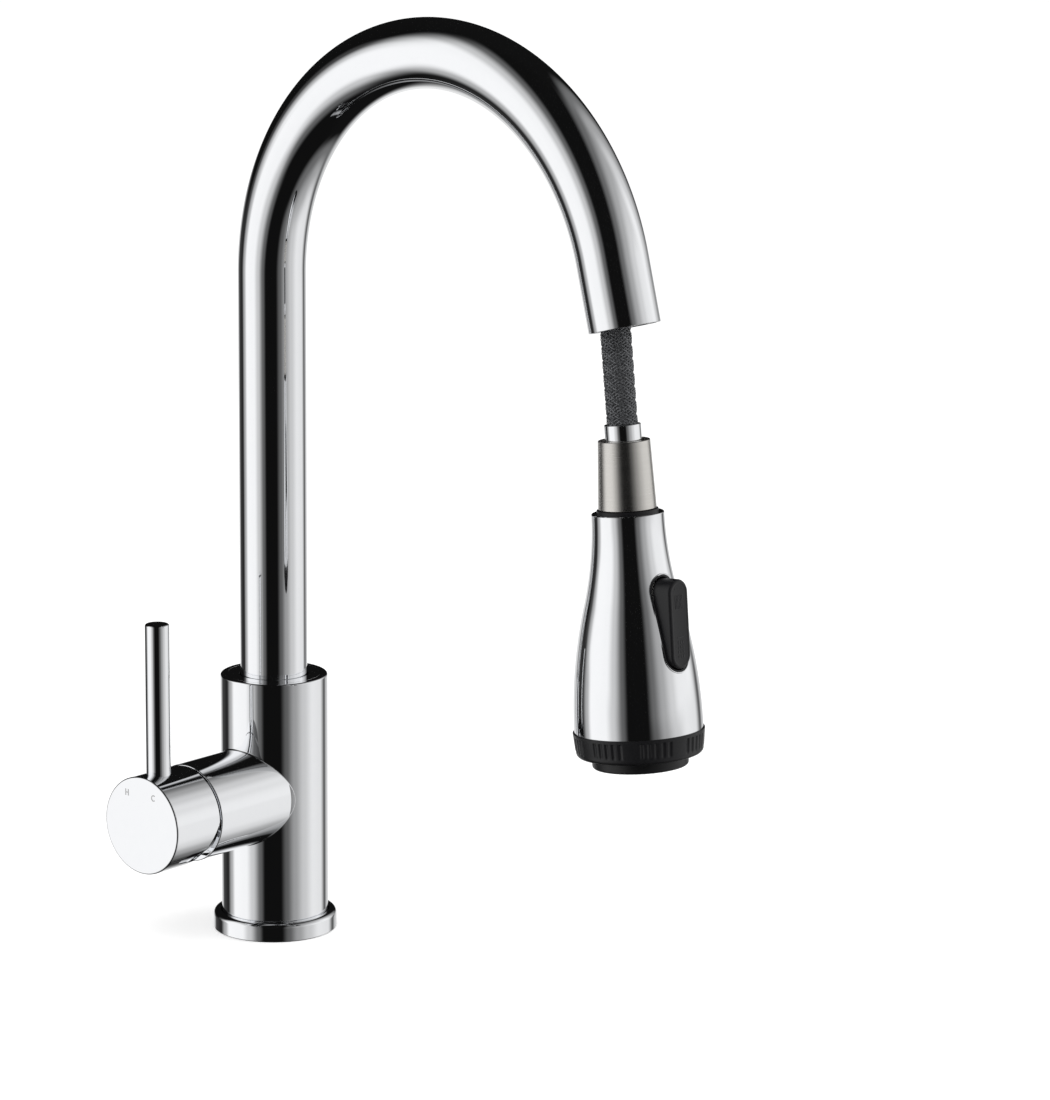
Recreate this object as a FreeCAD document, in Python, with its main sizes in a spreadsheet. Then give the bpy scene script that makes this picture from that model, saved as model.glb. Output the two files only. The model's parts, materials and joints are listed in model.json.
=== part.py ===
import FreeCAD, Part
import math
import os
import re
import Sketcher
from FreeCAD import Placement, Rotation, Vector

# Pull-down kitchen faucet. Millimetres. +Z is up, the deck surface is z = 0 and the riser stands on
# the Z axis. The spout reaches towards -Y and the side handle points to -X, turned a little to -Y.

DIMENSIONS = [
    # spout
    ("tube_radius", 14.0), ("tube_wall", 1.0), ("riser_top", 278.5), ("arc_radius", 97.0),
    ("arc_angle", 165.0), ("tail_length", 26.0),
    # body and base
    ("body_radius", 22.4), ("body_top", 110.0), ("edge_round", 1.0),
    ("ring_flange", 3.6), ("ring_top", 8.0), ("ring_round", 2.4), ("ring_web", 2.2),
    ("gasket_inner", 18.0), ("gasket_inset", 0.8), ("gasket_height", 1.0), ("foot_gap", 0.3),
    # clearances and small edges that many pieces share
    ("running_gap", 0.05), ("fit_gap", 0.05), ("thread_gap", 0.05), ("loose_gap", 0.3),
    ("seam_gap", 0.1), ("edge_break", 0.3), ("overcut", 1.0),
    # what holds the faucet to the deck
    ("shank_radius", 17.0), ("shank_bore", 14.8), ("shank_top", 16.0), ("shank_bottom", -58.0),
    ("deck_thickness", 30.0), ("washer_radius", 28.0), ("rubber_thickness", 3.0),
    ("steel_thickness", 1.5), ("nut_height", 9.0), ("nut_flats", 46.0),
    # swivel
    ("socket_radius", 18.3), ("socket_bottom", 84.5), ("socket_height", 20.0), ("wear_thickness", 1.0),
    ("gland_radius", 19.6), ("gland_height", 5.0), ("tube_gap", 0.3), ("gland_bevel", 0.4),
    ("tube_foot", 86.0), ("seal_radius", 0.95), ("seal_pitch", 8.0), ("seal_rise", 4.0),
    # waterways of the body
    ("hose_passage", 7.0), ("port_circle", 10.4), ("port_radius", 3.95), ("port_depth", 10.0),
    ("channel_radius", 2.6), ("inlet_rise", 2.0), ("outlet_drop", 8.0),
    # valve
    ("barrel_clear", 2.8), ("valve_turn", 5.0), ("barrel_radius", 20.3), ("barrel_face", 54.0),
    ("barrel_root", 9.0), ("chamber_radius", 17.6), ("chamber_floor", 20.0),
    ("cartridge_gap", 0.2), ("pad_thickness", 1.0), ("base_thickness", 2.0),
    ("disc_thickness", 3.0), ("disc_radius", 13.8), ("moving_radius", 8.8), ("carrier_height", 5.0),
    ("housing_bore", 14.0), ("housing_top", 45.3), ("housing_lip", 1.0), ("lip_bore", 9.4),
    ("turret_bottom", 36.0), ("turret_top", 44.0), ("turret_neck", 9.0), ("neck_top", 50.0),
    ("slot_half_width", 4.2), ("slot_half_length", 9.5), ("pivot_offset", 46.0), ("pivot_pin", 1.5),
    ("stem_half", 4.0), ("arm_half", 2.5), ("arm_start", 32.0), ("arm_end", 42.0),
    ("stem_end", 76.0), ("tip_hole", 3.9), ("tip_floor", 31.0),
    ("nut_bore", 12.5), ("bonnet_lip", 18.0), ("bonnet_lip_end", 55.0), ("bonnet_shoulder", 13.9),
    ("bonnet_hole", 9.8), ("bonnet_end", 56.5), ("bonnet_web", 1.2),
    # handle
    ("cap_start", 55.2), ("cap_face", 80.4), ("cap_cavity", 18.4), ("cavity_floor", 61.8),
    ("cap_round", 0.8), ("rim_angle", 23.5), ("lever_offset", 70.0), ("lever_radius", 5.0),
    ("lever_top", 143.0), ("lever_foot", 8.0), ("lever_chamfer", 0.7), ("screw_radius", 2.0),
    ("screw_end", -18.5), ("stem_room", 0.5),
    # spray head, measured down its axis from a point head_drop below the spout's mouth
    ("head_drop", 58.491), ("head_ahead", 1.576), ("head_tilt", 4.89),
    ("ball_offset", -8.0), ("ball_radius", 7.6), ("nipple_radius", 4.5), ("water_bore", 3.0),
    ("cone_top", -15.5), ("cone_bottom", 11.0), ("cone_top_radius", 10.05),
    ("cone_bottom_radius", 11.25), ("cone_mouth", 8.0), ("seat_radius", 9.0), ("seat_half", 4.5),
    ("seat_nut_height", 5.0), ("seat_nut_bore", 6.5), ("core_radius", 8.95), ("core_bore", 5.0),
    ("core_end", 80.0),
    ("bell_top", 12.5), ("bell_top_radius", 14.05), ("bell_waist", 48.0), ("waist_radius", 18.66),
    ("bell_bottom", 97.0), ("bell_radius", 25.0), ("flare_radius", 139.0), ("skirt_radius", 192.0),
    ("bell_wall", 2.0),
    ("manifold_top", 78.0), ("manifold_shoulder", 88.0), ("manifold_radius", 18.8),
    ("manifold_bottom", 101.5), ("manifold_wall", 2.5), ("seal_ring_level", 93.0),
    ("seal_ring_radius", 2.0), ("aerator_bore", 2.0),
    ("grip_radius", 25.6), ("grip_low_radius", 24.7), ("grip_bottom", 106.8), ("grip_round", 1.6),
    ("grip_bore", 18.95), ("nozzle_radius", 18.7), ("nozzle_top", 102.0), ("nozzle_bottom", 111.4),
    ("nozzle_round", 0.9), ("aerator_radius", 8.0), ("aerator_top", 103.0), ("aerator_bottom", 110.4),
    ("spray_inner", 9.6), ("spray_outer", 17.4), ("spray_depth", 1.6),
    # rocker that changes the spray
    ("rocker_middle", 54.2), ("rocker_length", 34.6), ("rocker_width", 10.8), ("rocker_face", 24.5),
    ("rocker_back", 16.2), ("rocker_pivot", 17.2), ("rocker_pin", 1.0), ("slot_length", 37.5),
    ("slot_width", 13.5), ("bezel_wall", 0.8), ("bezel_back", 12.2), ("bezel_inset", 0.15),
    ("lug_half", 1.0), ("lug_tip", 13.3), ("spool_radius", 1.6), ("spool_reach", 12.4),
    ("spool_length", 16.0), ("notch_half", 1.4), ("notch_floor", 12.7), ("block_half", 3.2),
    ("block_back", 9.4), ("block_front", 14.6), ("block_length", 12.0), ("window_half", 3.0),
    ("window_gap", 0.4),
    # hose
    ("hose_radius", 6.05), ("hose_bore", 3.5), ("hose_tilt", 6.5), ("split_angle", 152.0),
    ("ferrule_radius", 7.08), ("ferrule_top", -13.5), ("ferrule_bottom", -6.5),
    # dock in the mouth of the spout
    ("bush_lip", 0.8), ("bush_wall", 2.25), ("bush_length", 25.0), ("bush_inset", 0.4),
]

doc = FreeCAD.newDocument("faucet")
sheet = doc.addObject("Spreadsheet::Sheet", "dims")
for row, (name, number) in enumerate(DIMENSIONS, start=1):
    sheet.set("A%d" % row, name)
    sheet.set("B%d" % row, str(number))
    sheet.setAlias("B%d" % row, name)
doc.recompute()

FUNCTIONS = ("sin", "cos", "tan", "sqrt")
RING = "(body_radius + ring_flange)"
GASKET = "(body_radius + ring_flange - gasket_inset)"
VALVE = "(socket_bottom - wear_thickness - barrel_clear - barrel_radius)"
LEAST_CUT = 0.01
ROUNDING = "0.0001"
nodes = []


def link(text):
    """An expression over the sheet's names, as FreeCAD writes it."""
    def named(found):
        word = found.group()
        return word if word in FUNCTIONS else "dims." + word

    return re.sub(r"[a-z][a-z_]*", named, text)


def size(text):
    """The number that such an expression has now."""
    found = sheet.evalExpression(link(text))
    return float(getattr(found, "Value", found))


# ---- frames ---------------------------------------------------------------------------------

def valve_frame():
    """Local Z runs out along the valve's axis, local X points up."""
    turn = Rotation(Vector(0, 0, 1), size("valve_turn"))
    lay = Rotation(Vector(0, 1, 0), -90)
    return Placement(Vector(0, 0, size(VALVE)), turn.multiply(lay))


def body_frame():
    """The body's own frame, turned so that its barrel lies on the valve's axis."""
    return Placement(Vector(0, 0, 0), Rotation(Vector(0, 0, 1), size("valve_turn")))


def head_frame():
    """Local Z runs down the spray head's axis, local Y faces the front."""
    below = mouth() - Vector(0, size("head_ahead"), size("head_drop"))
    return Placement(below, down(size("head_tilt")))


def down(tilt):
    """The rotation that lays local Z downwards, leaning to the front by the tilt."""
    return Rotation(Vector(1, 0, 0), 180 - tilt)


def ball_centre():
    return head_frame().multVec(Vector(0, 0, size("ball_offset")))


def hose_frame():
    """At the ball's centre, with local Z running down the hose."""
    return Placement(ball_centre(), down(size("hose_tilt")))


def mouth():
    """The centre of the spout's open end."""
    turned = math.radians(size("arc_angle"))
    bend = size("arc_radius")
    tail = size("tail_length")
    y = -bend + bend * math.cos(turned) - tail * math.sin(turned)
    z = size("riser_top") + bend * math.sin(turned) + tail * math.cos(turned)
    return Vector(0, y, z)


def mouth_frame():
    """At the spout's open end, with local Z running up into the spout."""
    return Placement(mouth(), Rotation(Vector(1, 0, 0), size("arc_angle") - 180))


# ---- sketches and features ------------------------------------------------------------------

def new_body(label, place=None):
    body = doc.addObject("PartDesign::Body", label)
    body.Label = label
    body.Placement = place or Placement()
    nodes.append(body)
    return body


def new_sketch(body, plane, offset="0"):
    base = [part for part in body.Origin.OriginFeatures if part.Role == plane + "_Plane"][0]
    sketch = body.newObject("Sketcher::SketchObject", body.Label + "_sketch")
    sketch.AttachmentSupport = [(base, "")]
    sketch.MapMode = "FlatFace"
    sketch.AttachmentOffset = Placement(Vector(0, 0, size(offset)), Rotation())
    return sketch


def pin_point(sketch, index, end, x, y):
    """Tie one end of a line or an arc to two expressions."""
    for kind, text in (("DistanceX", x), ("DistanceY", y)):
        tie = sketch.addConstraint(Sketcher.Constraint(kind, -1, 1, index, end, size(text)))
        sketch.setExpression("Constraints[%d]" % tie, link(text))


def bend_middle(start, end, radius):
    """A point on the arc between two points; a negative radius bulges to the other side."""
    chord = end - start
    half = chord.Length / 2
    reach = abs(radius) - math.sqrt(max(radius * radius - half * half, 0))
    side = Vector(chord.y, -chord.x, 0).normalize()
    return (start + end) / 2 + side * math.copysign(reach, radius)


def outline(body, plane, points, offset="0"):
    """A closed outline. A point is (x, y), or (x, y, radius) where an arc leaves it; the radius is
    negative where the arc bulges to the left of the way round."""
    sketch = new_sketch(body, plane, offset)
    spots = [Vector(size(point[0]), size(point[1]), 0) for point in points]
    for index, point in enumerate(points):
        start = spots[index]
        end = spots[(index + 1) % len(points)]
        if len(point) == 3:
            middle = bend_middle(start, end, size(point[2]))
            ends = (end, start) if point[2].startswith("-") else (start, end)
            sketch.addGeometry(Part.Arc(ends[0], middle, ends[1]))
        else:
            sketch.addGeometry(Part.LineSegment(start, end))
    starts = [2 if len(point) == 3 and point[2].startswith("-") else 1 for point in points]
    for index, point in enumerate(points):
        after = (index + 1) % len(points)
        sketch.addConstraint(
            Sketcher.Constraint("Coincident", index, 3 - starts[index], after, starts[after])
        )
    for index, point in enumerate(points):
        pin_point(sketch, index, starts[index], point[0], point[1])
        if len(point) == 3:
            arc = Sketcher.Constraint("Radius", index, abs(size(point[2])))
            tie = sketch.addConstraint(arc)
            sketch.setExpression("Constraints[%d]" % tie, link(point[2].lstrip("-")))
    return sketch


def circles(body, plane, spots, offset="0"):
    """Circles, each given as (x, y, radius)."""
    sketch = new_sketch(body, plane, offset)
    for index, (x, y, radius) in enumerate(spots):
        sketch.addGeometry(Part.Circle(Vector(size(x), size(y), 0), Vector(0, 0, 1), size(radius)))
        pin_point(sketch, index, 3, x, y)
        tie = sketch.addConstraint(Sketcher.Constraint("Radius", index, size(radius)))
        sketch.setExpression("Constraints[%d]" % tie, link(radius))
    return sketch


def box(body, plane, low_x, low_y, high_x, high_y, offset="0"):
    corners = [(low_x, low_y), (high_x, low_y), (high_x, high_y), (low_x, high_y)]
    return outline(body, plane, corners, offset)


def stadium(body, plane, middle, length, width, offset="0"):
    """A slot shape that stands along the sketch's Y."""
    half = "(%s) / 2" % width
    low = "%s - (%s - (%s)) / 2" % (middle, length, width)
    high = "%s + (%s - (%s)) / 2" % (middle, length, width)
    nearly = "(%s) / 2 + %s" % (width, ROUNDING)
    corners = [("-" + half, low, nearly), (half, low), (half, high, nearly), ("-" + half, high)]
    return outline(body, plane, corners, offset)


def grow(body, kind, sketch, length, reverse=False, middle=False):
    feature = body.newObject("PartDesign::" + kind, body.Label + "_" + kind.lower())
    feature.Profile = sketch
    feature.Reversed = reverse
    feature.Midplane = middle
    feature.setExpression("Length", link(length))
    doc.recompute()


def pad(body, sketch, length, reverse=False, middle=False):
    grow(body, "Pad", sketch, length, reverse, middle)


def pocket(body, sketch, length, reverse=False, middle=False):
    before = body.Shape.Volume
    grow(body, "Pocket", sketch, length, reverse, middle)
    if body.Shape.Volume > before - LEAST_CUT:
        raise SystemExit("a pocket of %s cuts nothing" % body.Label)


def turn(body, sketch, kind="Revolution"):
    before = body.Shape.Volume if kind == "Groove" else 0
    feature = body.newObject("PartDesign::" + kind, body.Label + "_" + kind.lower())
    feature.Profile = sketch
    feature.ReferenceAxis = (sketch, ["V_Axis"])
    feature.Angle = 360
    doc.recompute()
    if kind == "Groove" and body.Shape.Volume > before - LEAST_CUT:
        raise SystemExit("a groove of %s cuts nothing" % body.Label)


def turned(label, points, place=None):
    """A piece turned about its own Z from an outline of (radius, height) points."""
    body = new_body(label, place)
    turn(body, outline(body, "XZ", points))


def ring(label, inner, outer, low, high, place=None):
    turned(label, [(inner, low), (outer, low), (outer, high), (inner, high)], place)


def torus(label, around, thick, level, place=None):
    body = new_body(label, place)
    turn(body, circles(body, "XZ", [(around, level, thick)]))
    return body


# ---- base and body --------------------------------------------------------------------------

def base_gasket():
    ring("base_gasket", "gasket_inner", GASKET, "0", "gasket_height")


def base_ring():
    recess = GASKET + " + seam_gap"
    bore = "body_radius + 2 * seam_gap"
    turned("base_ring", [
        ("gasket_inner", "gasket_height"), (recess, "gasket_height"), (recess, "foot_gap"),
        (RING + " - edge_break", "foot_gap"), (RING, "foot_gap + edge_break"),
        (RING, "ring_top - ring_round", "ring_round"),
        (RING + " - ring_round", "ring_top"), (bore + " + edge_break", "ring_top"),
        (bore, "ring_top - edge_break"), (bore, "ring_web"), ("gasket_inner", "ring_web"),
    ])


def faucet_body():
    body = new_body("faucet_body", body_frame())
    bore = "socket_radius + running_gap"
    ledge = "socket_bottom - wear_thickness"
    gland = "gland_radius + thread_gap"
    turn(body, outline(body, "XZ", [
        ("hose_passage", "shank_top"), ("shank_radius + thread_gap", "shank_top"),
        ("shank_radius + thread_gap", "ring_web"), ("body_radius", "ring_web"),
        ("body_radius", "body_top - edge_round", "edge_round"),
        ("body_radius - edge_round", "body_top"), (gland, "body_top"),
        (gland, "body_top - gland_height"), (bore, "body_top - gland_height"),
        (bore, ledge), ("hose_passage", ledge),
    ]))
    barrel = circles(body, "YZ", [("0", VALVE, "barrel_radius")], "-barrel_root")
    pad(body, barrel, "barrel_face - barrel_root", reverse=True)
    chamber = circles(body, "YZ", [("0", VALVE, "chamber_radius")], "-barrel_face")
    pocket(body, chamber, "barrel_face - chamber_floor", reverse=True)
    ports = [("0", "port_circle"), ("0", "-port_circle"), ("-port_circle", "0")]
    threads = circles(body, "XY", [(x, y, "port_radius") for x, y in ports], "shank_top")
    pocket(body, threads, "port_depth", reverse=True)
    inlets = circles(body, "XY", [(x, y, "channel_radius") for x, y in ports[:2]], "shank_top")
    pocket(body, inlets, VALVE + " + inlet_rise - shank_top", reverse=True)
    outlet = circles(body, "XY", [("-port_circle", "0", "channel_radius")], "shank_top")
    pocket(body, outlet, VALVE + " - outlet_drop - shank_top", reverse=True)
    level = VALVE + " + inlet_rise"
    feeds = [("port_circle", level, "channel_radius"), ("-port_circle", level, "channel_radius")]
    pocket(body, circles(body, "YZ", feeds, "-chamber_floor"), "chamber_floor", reverse=True)
    drain = circles(body, "YZ", [("0", VALVE + " - outlet_drop", "channel_radius")], "-chamber_floor")
    pocket(body, drain, "chamber_floor - port_circle", reverse=True)


def deck_fixing():
    ring("mounting_shank", "shank_bore", "shank_radius", "shank_bottom", "shank_top")
    under = "-deck_thickness"
    rubber = under + " - rubber_thickness"
    steel = rubber + " - steel_thickness"
    ring("deck_washer_rubber", "shank_radius + loose_gap", "washer_radius", rubber, under)
    ring("deck_washer_steel", "shank_radius + loose_gap", "washer_radius", steel, rubber)
    nut = new_body("mounting_nut")
    corner = "nut_flats / sqrt(3) * %s(%d)"
    corners = [(corner % ("cos", angle), corner % ("sin", angle)) for angle in range(0, 360, 60)]
    pad(nut, outline(nut, "XY", corners, steel), "nut_height", reverse=True)
    thread = circles(nut, "XY", [("0", "0", "shank_radius + thread_gap")], steel)
    pocket(nut, thread, "nut_height")


def swivel():
    top = "socket_bottom + socket_height"
    ring("swivel_washer", "hose_passage + edge_round", "socket_radius - loose_gap",
         "socket_bottom - wear_thickness", "socket_bottom")
    groove = "socket_radius - 2 * seal_radius - running_gap"
    low = "socket_bottom + seal_rise"
    high = low + " + seal_pitch"
    half = "seal_radius + seam_gap"
    turned("spout_socket", [
        ("tube_radius - tube_wall", "socket_bottom"), ("socket_radius", "socket_bottom"),
        ("socket_radius", "%s - (%s)" % (low, half)), (groove, "%s - (%s)" % (low, half)),
        (groove, "%s + %s" % (low, half)), ("socket_radius", "%s + %s" % (low, half)),
        ("socket_radius", "%s - (%s)" % (high, half)), (groove, "%s - (%s)" % (high, half)),
        (groove, "%s + %s" % (high, half)), ("socket_radius", "%s + %s" % (high, half)),
        ("socket_radius", top), ("tube_radius", top), ("tube_radius", "tube_foot"),
        ("tube_radius - tube_wall", "tube_foot"),
    ])
    for label, level in (("swivel_oring_lower", low), ("swivel_oring_upper", high)):
        torus(label, "socket_radius - seal_radius", "seal_radius", level)
    turned("gland_ring", [
        ("tube_radius + tube_gap", "body_top - gland_height"),
        ("gland_radius", "body_top - gland_height"), ("gland_radius", "body_top"),
        ("tube_radius + tube_gap + gland_bevel", "body_top"),
        ("tube_radius + tube_gap", "body_top - gland_bevel"),
    ])


# ---- tubes along the spout ------------------------------------------------------------------

def swept(label, start, spine, outer, inner):
    """A tube along a route in the YZ plane. start is the height where it sets out upwards."""
    body = new_body(label)
    route = new_sketch(body, "YZ")
    for index, piece in enumerate(spine):
        route.addGeometry(piece)
        route.addConstraint(Sketcher.Constraint("Block", index))
    section = circles(body, "XY", [("0", "0", outer), ("0", "0", inner)], start)
    pipe = body.newObject("PartDesign::AdditivePipe", label + "_pipe")
    pipe.Profile = section
    pipe.Spine = (route, ["Edge%d" % (index + 1) for index in range(len(spine))])
    doc.recompute()


def on_bend(bend, angle):
    """A point of a bend of the given radius, at an angle up from the riser's top."""
    spot = math.radians(angle)
    return Vector(-bend + bend * math.cos(spot), size("riser_top") + bend * math.sin(spot), 0)


def route_arc(bend, first, last):
    return Part.Arc(on_bend(bend, first), on_bend(bend, (first + last) / 2), on_bend(bend, last))


def spout_tube():
    bend = size("arc_radius")
    last = size("arc_angle")
    end = on_bend(bend, last)
    riser = Part.LineSegment(Vector(0, size("tube_foot"), 0), on_bend(bend, 0))
    tail = Part.LineSegment(end, Vector(mouth().y, mouth().z, 0))
    spine = [riser, route_arc(bend, 0, last), tail]
    swept("spout_tube", "tube_foot", spine, "tube_radius", "tube_radius - tube_wall")


def hose_bend():
    """The hose's bend: it rises on the Z axis and leaves straight through the ball's centre."""
    ball = ball_centre()
    lean = math.radians(size("hose_tilt"))
    rise = size("riser_top") - ball.z
    return (-ball.y * math.cos(lean) - rise * math.sin(lean)) / (1 + math.cos(lean))


def hose_in_spout():
    bend = hose_bend()
    riser = Part.LineSegment(Vector(0, size("shank_bottom"), 0), on_bend(bend, 0))
    spine = [riser, route_arc(bend, 0, size("split_angle"))]
    swept("hose_in_spout", "shank_bottom", spine, "hose_radius", "hose_bore")


def hose_exposed():
    """The stretch that follows the head, from inside the spout to the ferrule."""
    bend = hose_bend()
    first = size("split_angle")
    last = 180 - size("hose_tilt")
    stop = hose_frame().multVec(Vector(0, 0, size("ferrule_top")))
    straight = Part.LineSegment(on_bend(bend, last), Vector(stop.y, stop.z, 0))
    upright = Placement(Vector(0, 0, 0), Rotation(Vector(1, 1, 1), 120))
    edges = [piece.toShape() for piece in (route_arc(bend, first, last), straight)]
    wire = Part.Wire([edge.transformed(upright.toMatrix()) for edge in edges])
    heading = math.radians(first)
    ahead = Vector(0, -math.sin(heading), math.cos(heading))
    start = upright.multVec(on_bend(bend, first))
    solids = []
    for radius in (size("hose_radius"), size("hose_bore")):
        section = Part.Wire([Part.makeCircle(radius, start, ahead)])
        solids.append(wire.makePipeShell([section], True, False))
    feature = doc.addObject("Part::Feature", "hose_exposed")
    feature.Label = "hose_exposed"
    feature.Shape = solids[0].cut(solids[1])
    nodes.append(feature)


def dock_bush():
    outer = "tube_radius - tube_wall - running_gap"
    far = "bush_inset + bush_length"
    turned("dock_bush", [
        (outer + " - bush_lip", "bush_inset"), (outer, "bush_inset"), (outer, far),
        (outer + " - bush_wall", far),
    ], mouth_frame())


# ---- valve cartridge ------------------------------------------------------------------------

def port_spots(radius):
    """The three water ports, in the valve's frame where X points up."""
    return [("inlet_rise", "port_circle", radius), ("inlet_rise", "-port_circle", radius),
            ("-outlet_drop", "0", radius)]


def ported_disc(label, outer, low, thickness):
    body = new_body(label, valve_frame())
    pad(body, circles(body, "XY", [("0", "0", outer)], low), thickness)
    pocket(body, circles(body, "XY", port_spots("channel_radius"), low), thickness, reverse=True)


def cartridge():
    outer = "chamber_radius - cartridge_gap"
    pad_top = "chamber_floor + pad_thickness"
    base_top = pad_top + " + base_thickness"
    disc_top = base_top + " + disc_thickness"
    moving_top = disc_top + " + disc_thickness"
    ported_disc("cartridge_seal", outer, "chamber_floor", "pad_thickness")
    ported_disc("cartridge_base", outer, pad_top, "base_thickness")
    ported_disc("fixed_disc", "disc_radius", base_top, "disc_thickness")
    turned("cartridge_housing", [
        ("housing_bore", base_top), (outer, base_top), (outer, "housing_top"),
        ("lip_bore", "housing_top"), ("lip_bore", "housing_top - housing_lip"),
        ("housing_bore", "housing_top - housing_lip"),
    ], valve_frame())
    moving = new_body("moving_disc", valve_frame())
    pad(moving, circles(moving, "XY", [("0", "0", "moving_radius")], disc_top), "disc_thickness")
    recess = box(moving, "XY", "-outlet_drop", "-arm_half", "arm_half", "arm_half", disc_top)
    pocket(moving, recess, "disc_thickness / 2", reverse=True)
    carrier = new_body("disc_carrier", valve_frame())
    pad(carrier, circles(carrier, "XY", [("0", "0", "moving_radius")], moving_top), "carrier_height")
    hole = circles(carrier, "XY", [("0", "0", "tip_hole")], "tip_floor")
    pocket(carrier, hole, moving_top + " + carrier_height - tip_floor", reverse=True)


def turret():
    body = new_body("turret", valve_frame())
    running = "housing_bore - running_gap"
    pad(body, circles(body, "XY", [("0", "0", running)], "turret_bottom"), "turret_top - turret_bottom")
    pad(body, circles(body, "XY", [("0", "0", "turret_neck")], "turret_top"), "neck_top - turret_top")
    slot = box(body, "XY", "-slot_half_length", "-slot_half_width", "slot_half_length",
               "slot_half_width", "turret_bottom")
    pocket(body, slot, "neck_top - turret_bottom", reverse=True)
    hole = circles(body, "XZ", [("0", "pivot_offset", "pivot_pin + running_gap")])
    pocket(body, hole, "2 * (turret_neck + overcut)", middle=True)
    pin = new_body("pivot_pin", valve_frame())
    rod = circles(pin, "XZ", [("0", "pivot_offset", "pivot_pin")])
    pad(pin, rod, "2 * (turret_neck - edge_break)", middle=True)


def stem():
    body = new_body("stem", valve_frame())
    arm = box(body, "XY", "-arm_half", "-arm_half", "arm_half", "arm_half", "arm_start")
    pad(body, arm, "arm_end - arm_start")
    square = box(body, "XY", "-stem_half", "-stem_half", "stem_half", "stem_half", "arm_end")
    pad(body, square, "stem_end - arm_end")
    hole = circles(body, "XZ", [("0", "pivot_offset", "pivot_pin + running_gap")])
    pocket(body, hole, "2 * (stem_half + overcut)", middle=True)


def valve_trim():
    inner = "nut_bore"
    outer = "chamber_radius - seam_gap"
    ring("retaining_nut", inner, outer, "housing_top", "neck_top", valve_frame())
    turned("bonnet", [
        (inner, "neck_top"), (outer, "neck_top"), (outer, "barrel_face"),
        ("bonnet_lip", "barrel_face"), ("bonnet_lip", "bonnet_lip_end"),
        ("bonnet_shoulder", "bonnet_end"), ("bonnet_hole", "bonnet_end"),
        ("bonnet_hole", "bonnet_end - bonnet_web"), (inner, "bonnet_lip_end - 2 * bonnet_web"),
    ], valve_frame())


# ---- handle ---------------------------------------------------------------------------------

def handle_cap():
    body = new_body("handle_cap", valve_frame())
    turn(body, outline(body, "XZ", [
        ("0", "cavity_floor"), ("cap_cavity", "cavity_floor"), ("cap_cavity", "cap_start"),
        ("barrel_radius - edge_break", "cap_start"), ("barrel_radius", "cap_start + edge_break"),
        ("barrel_radius", "cap_face - cap_round", "cap_round"),
        ("barrel_radius - cap_round", "cap_face"), ("0", "cap_face"),
    ]))
    low = "-(barrel_radius + overcut)"
    wedge = outline(body, "XZ", [
        ("0", "cap_start - overcut"), (low, "cap_start - overcut"),
        (low, "cap_start + (barrel_radius + overcut) * tan(rim_angle)"), ("0", "cap_start"),
    ])
    pocket(body, wedge, "2 * (barrel_radius + overcut)", middle=True)
    lever = circles(body, "YZ", [("0", "lever_offset", "lever_radius + fit_gap")], "lever_foot")
    pocket(body, lever, "barrel_radius", reverse=True)
    half = "stem_half + fit_gap"
    square = box(body, "XY", "-(%s)" % half, "-(%s)" % half, half, half, "cavity_floor")
    pocket(body, square, "stem_end + stem_room - cavity_floor", reverse=True)
    screw = circles(body, "YZ", [("0", "lever_offset", "screw_radius + fit_gap")])
    pocket(body, screw, "barrel_radius + overcut")


def on_valve(distance):
    """The placement of an upright piece that stands on the valve's axis."""
    spot = valve_frame().multVec(Vector(0, 0, distance))
    return Placement(spot, body_frame().Rotation)


def lever_rod():
    top = "lever_top - " + VALVE
    turned("lever_rod", [
        ("0", "lever_foot + seam_gap"), ("lever_radius", "lever_foot + seam_gap"),
        ("lever_radius", top + " - lever_chamfer", "lever_chamfer"),
        ("lever_radius - lever_chamfer", top), ("0", top),
    ], on_valve(size("lever_offset")))
    turned("set_screw", [
        ("0", "screw_end"), ("screw_radius", "screw_end"),
        ("screw_radius", "-stem_half - fit_gap"), ("0", "-stem_half - fit_gap"),
    ], on_valve(size("lever_offset")))


# ---- hose end and ball joint ----------------------------------------------------------------

def hose_end():
    ring("hose_ferrule", "hose_bore", "ferrule_radius", "ferrule_top", "ferrule_bottom", hose_frame())
    body = new_body("ball_nipple", hose_frame())
    fall = "sqrt(ball_radius * ball_radius - %s * %s)"
    neck = "-" + fall % ("nipple_radius", "nipple_radius")
    foot = fall % ("water_bore", "water_bore")
    turn(body, outline(body, "XZ", [
        ("water_bore", "ferrule_bottom"), ("nipple_radius", "ferrule_bottom"),
        ("nipple_radius", neck, "ball_radius"), ("water_bore", foot),
    ]))


def ball_seat():
    inner = "ball_radius + running_gap"
    edge = "sqrt((%s) * (%s) - seat_half * seat_half)" % (inner, inner)
    turned("ball_seat", [
        (edge, "ball_offset - seat_half"), ("seat_radius", "ball_offset - seat_half"),
        ("seat_radius", "ball_offset + seat_half"), (edge, "ball_offset + seat_half", "-(%s)" % inner),
    ], head_frame())


def cone():
    bore = "seat_radius + running_gap"
    lip = "ball_offset - seat_half - loose_gap"
    turned("cone_sleeve", [
        ("cone_mouth", "cone_top"), ("cone_top_radius", "cone_top"),
        ("cone_bottom_radius", "cone_bottom"), (bore, "cone_bottom"), (bore, lip),
        ("cone_mouth", lip),
    ], head_frame())
    start = "ball_offset + seat_half + loose_gap"
    stop = start + " + seat_nut_height"
    ring("seat_nut", "seat_nut_bore", "seat_radius", start, stop, head_frame())
    ring("waterway_tube", "core_bore", "core_radius", stop, "core_end", head_frame())


# ---- spray head -----------------------------------------------------------------------------

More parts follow.
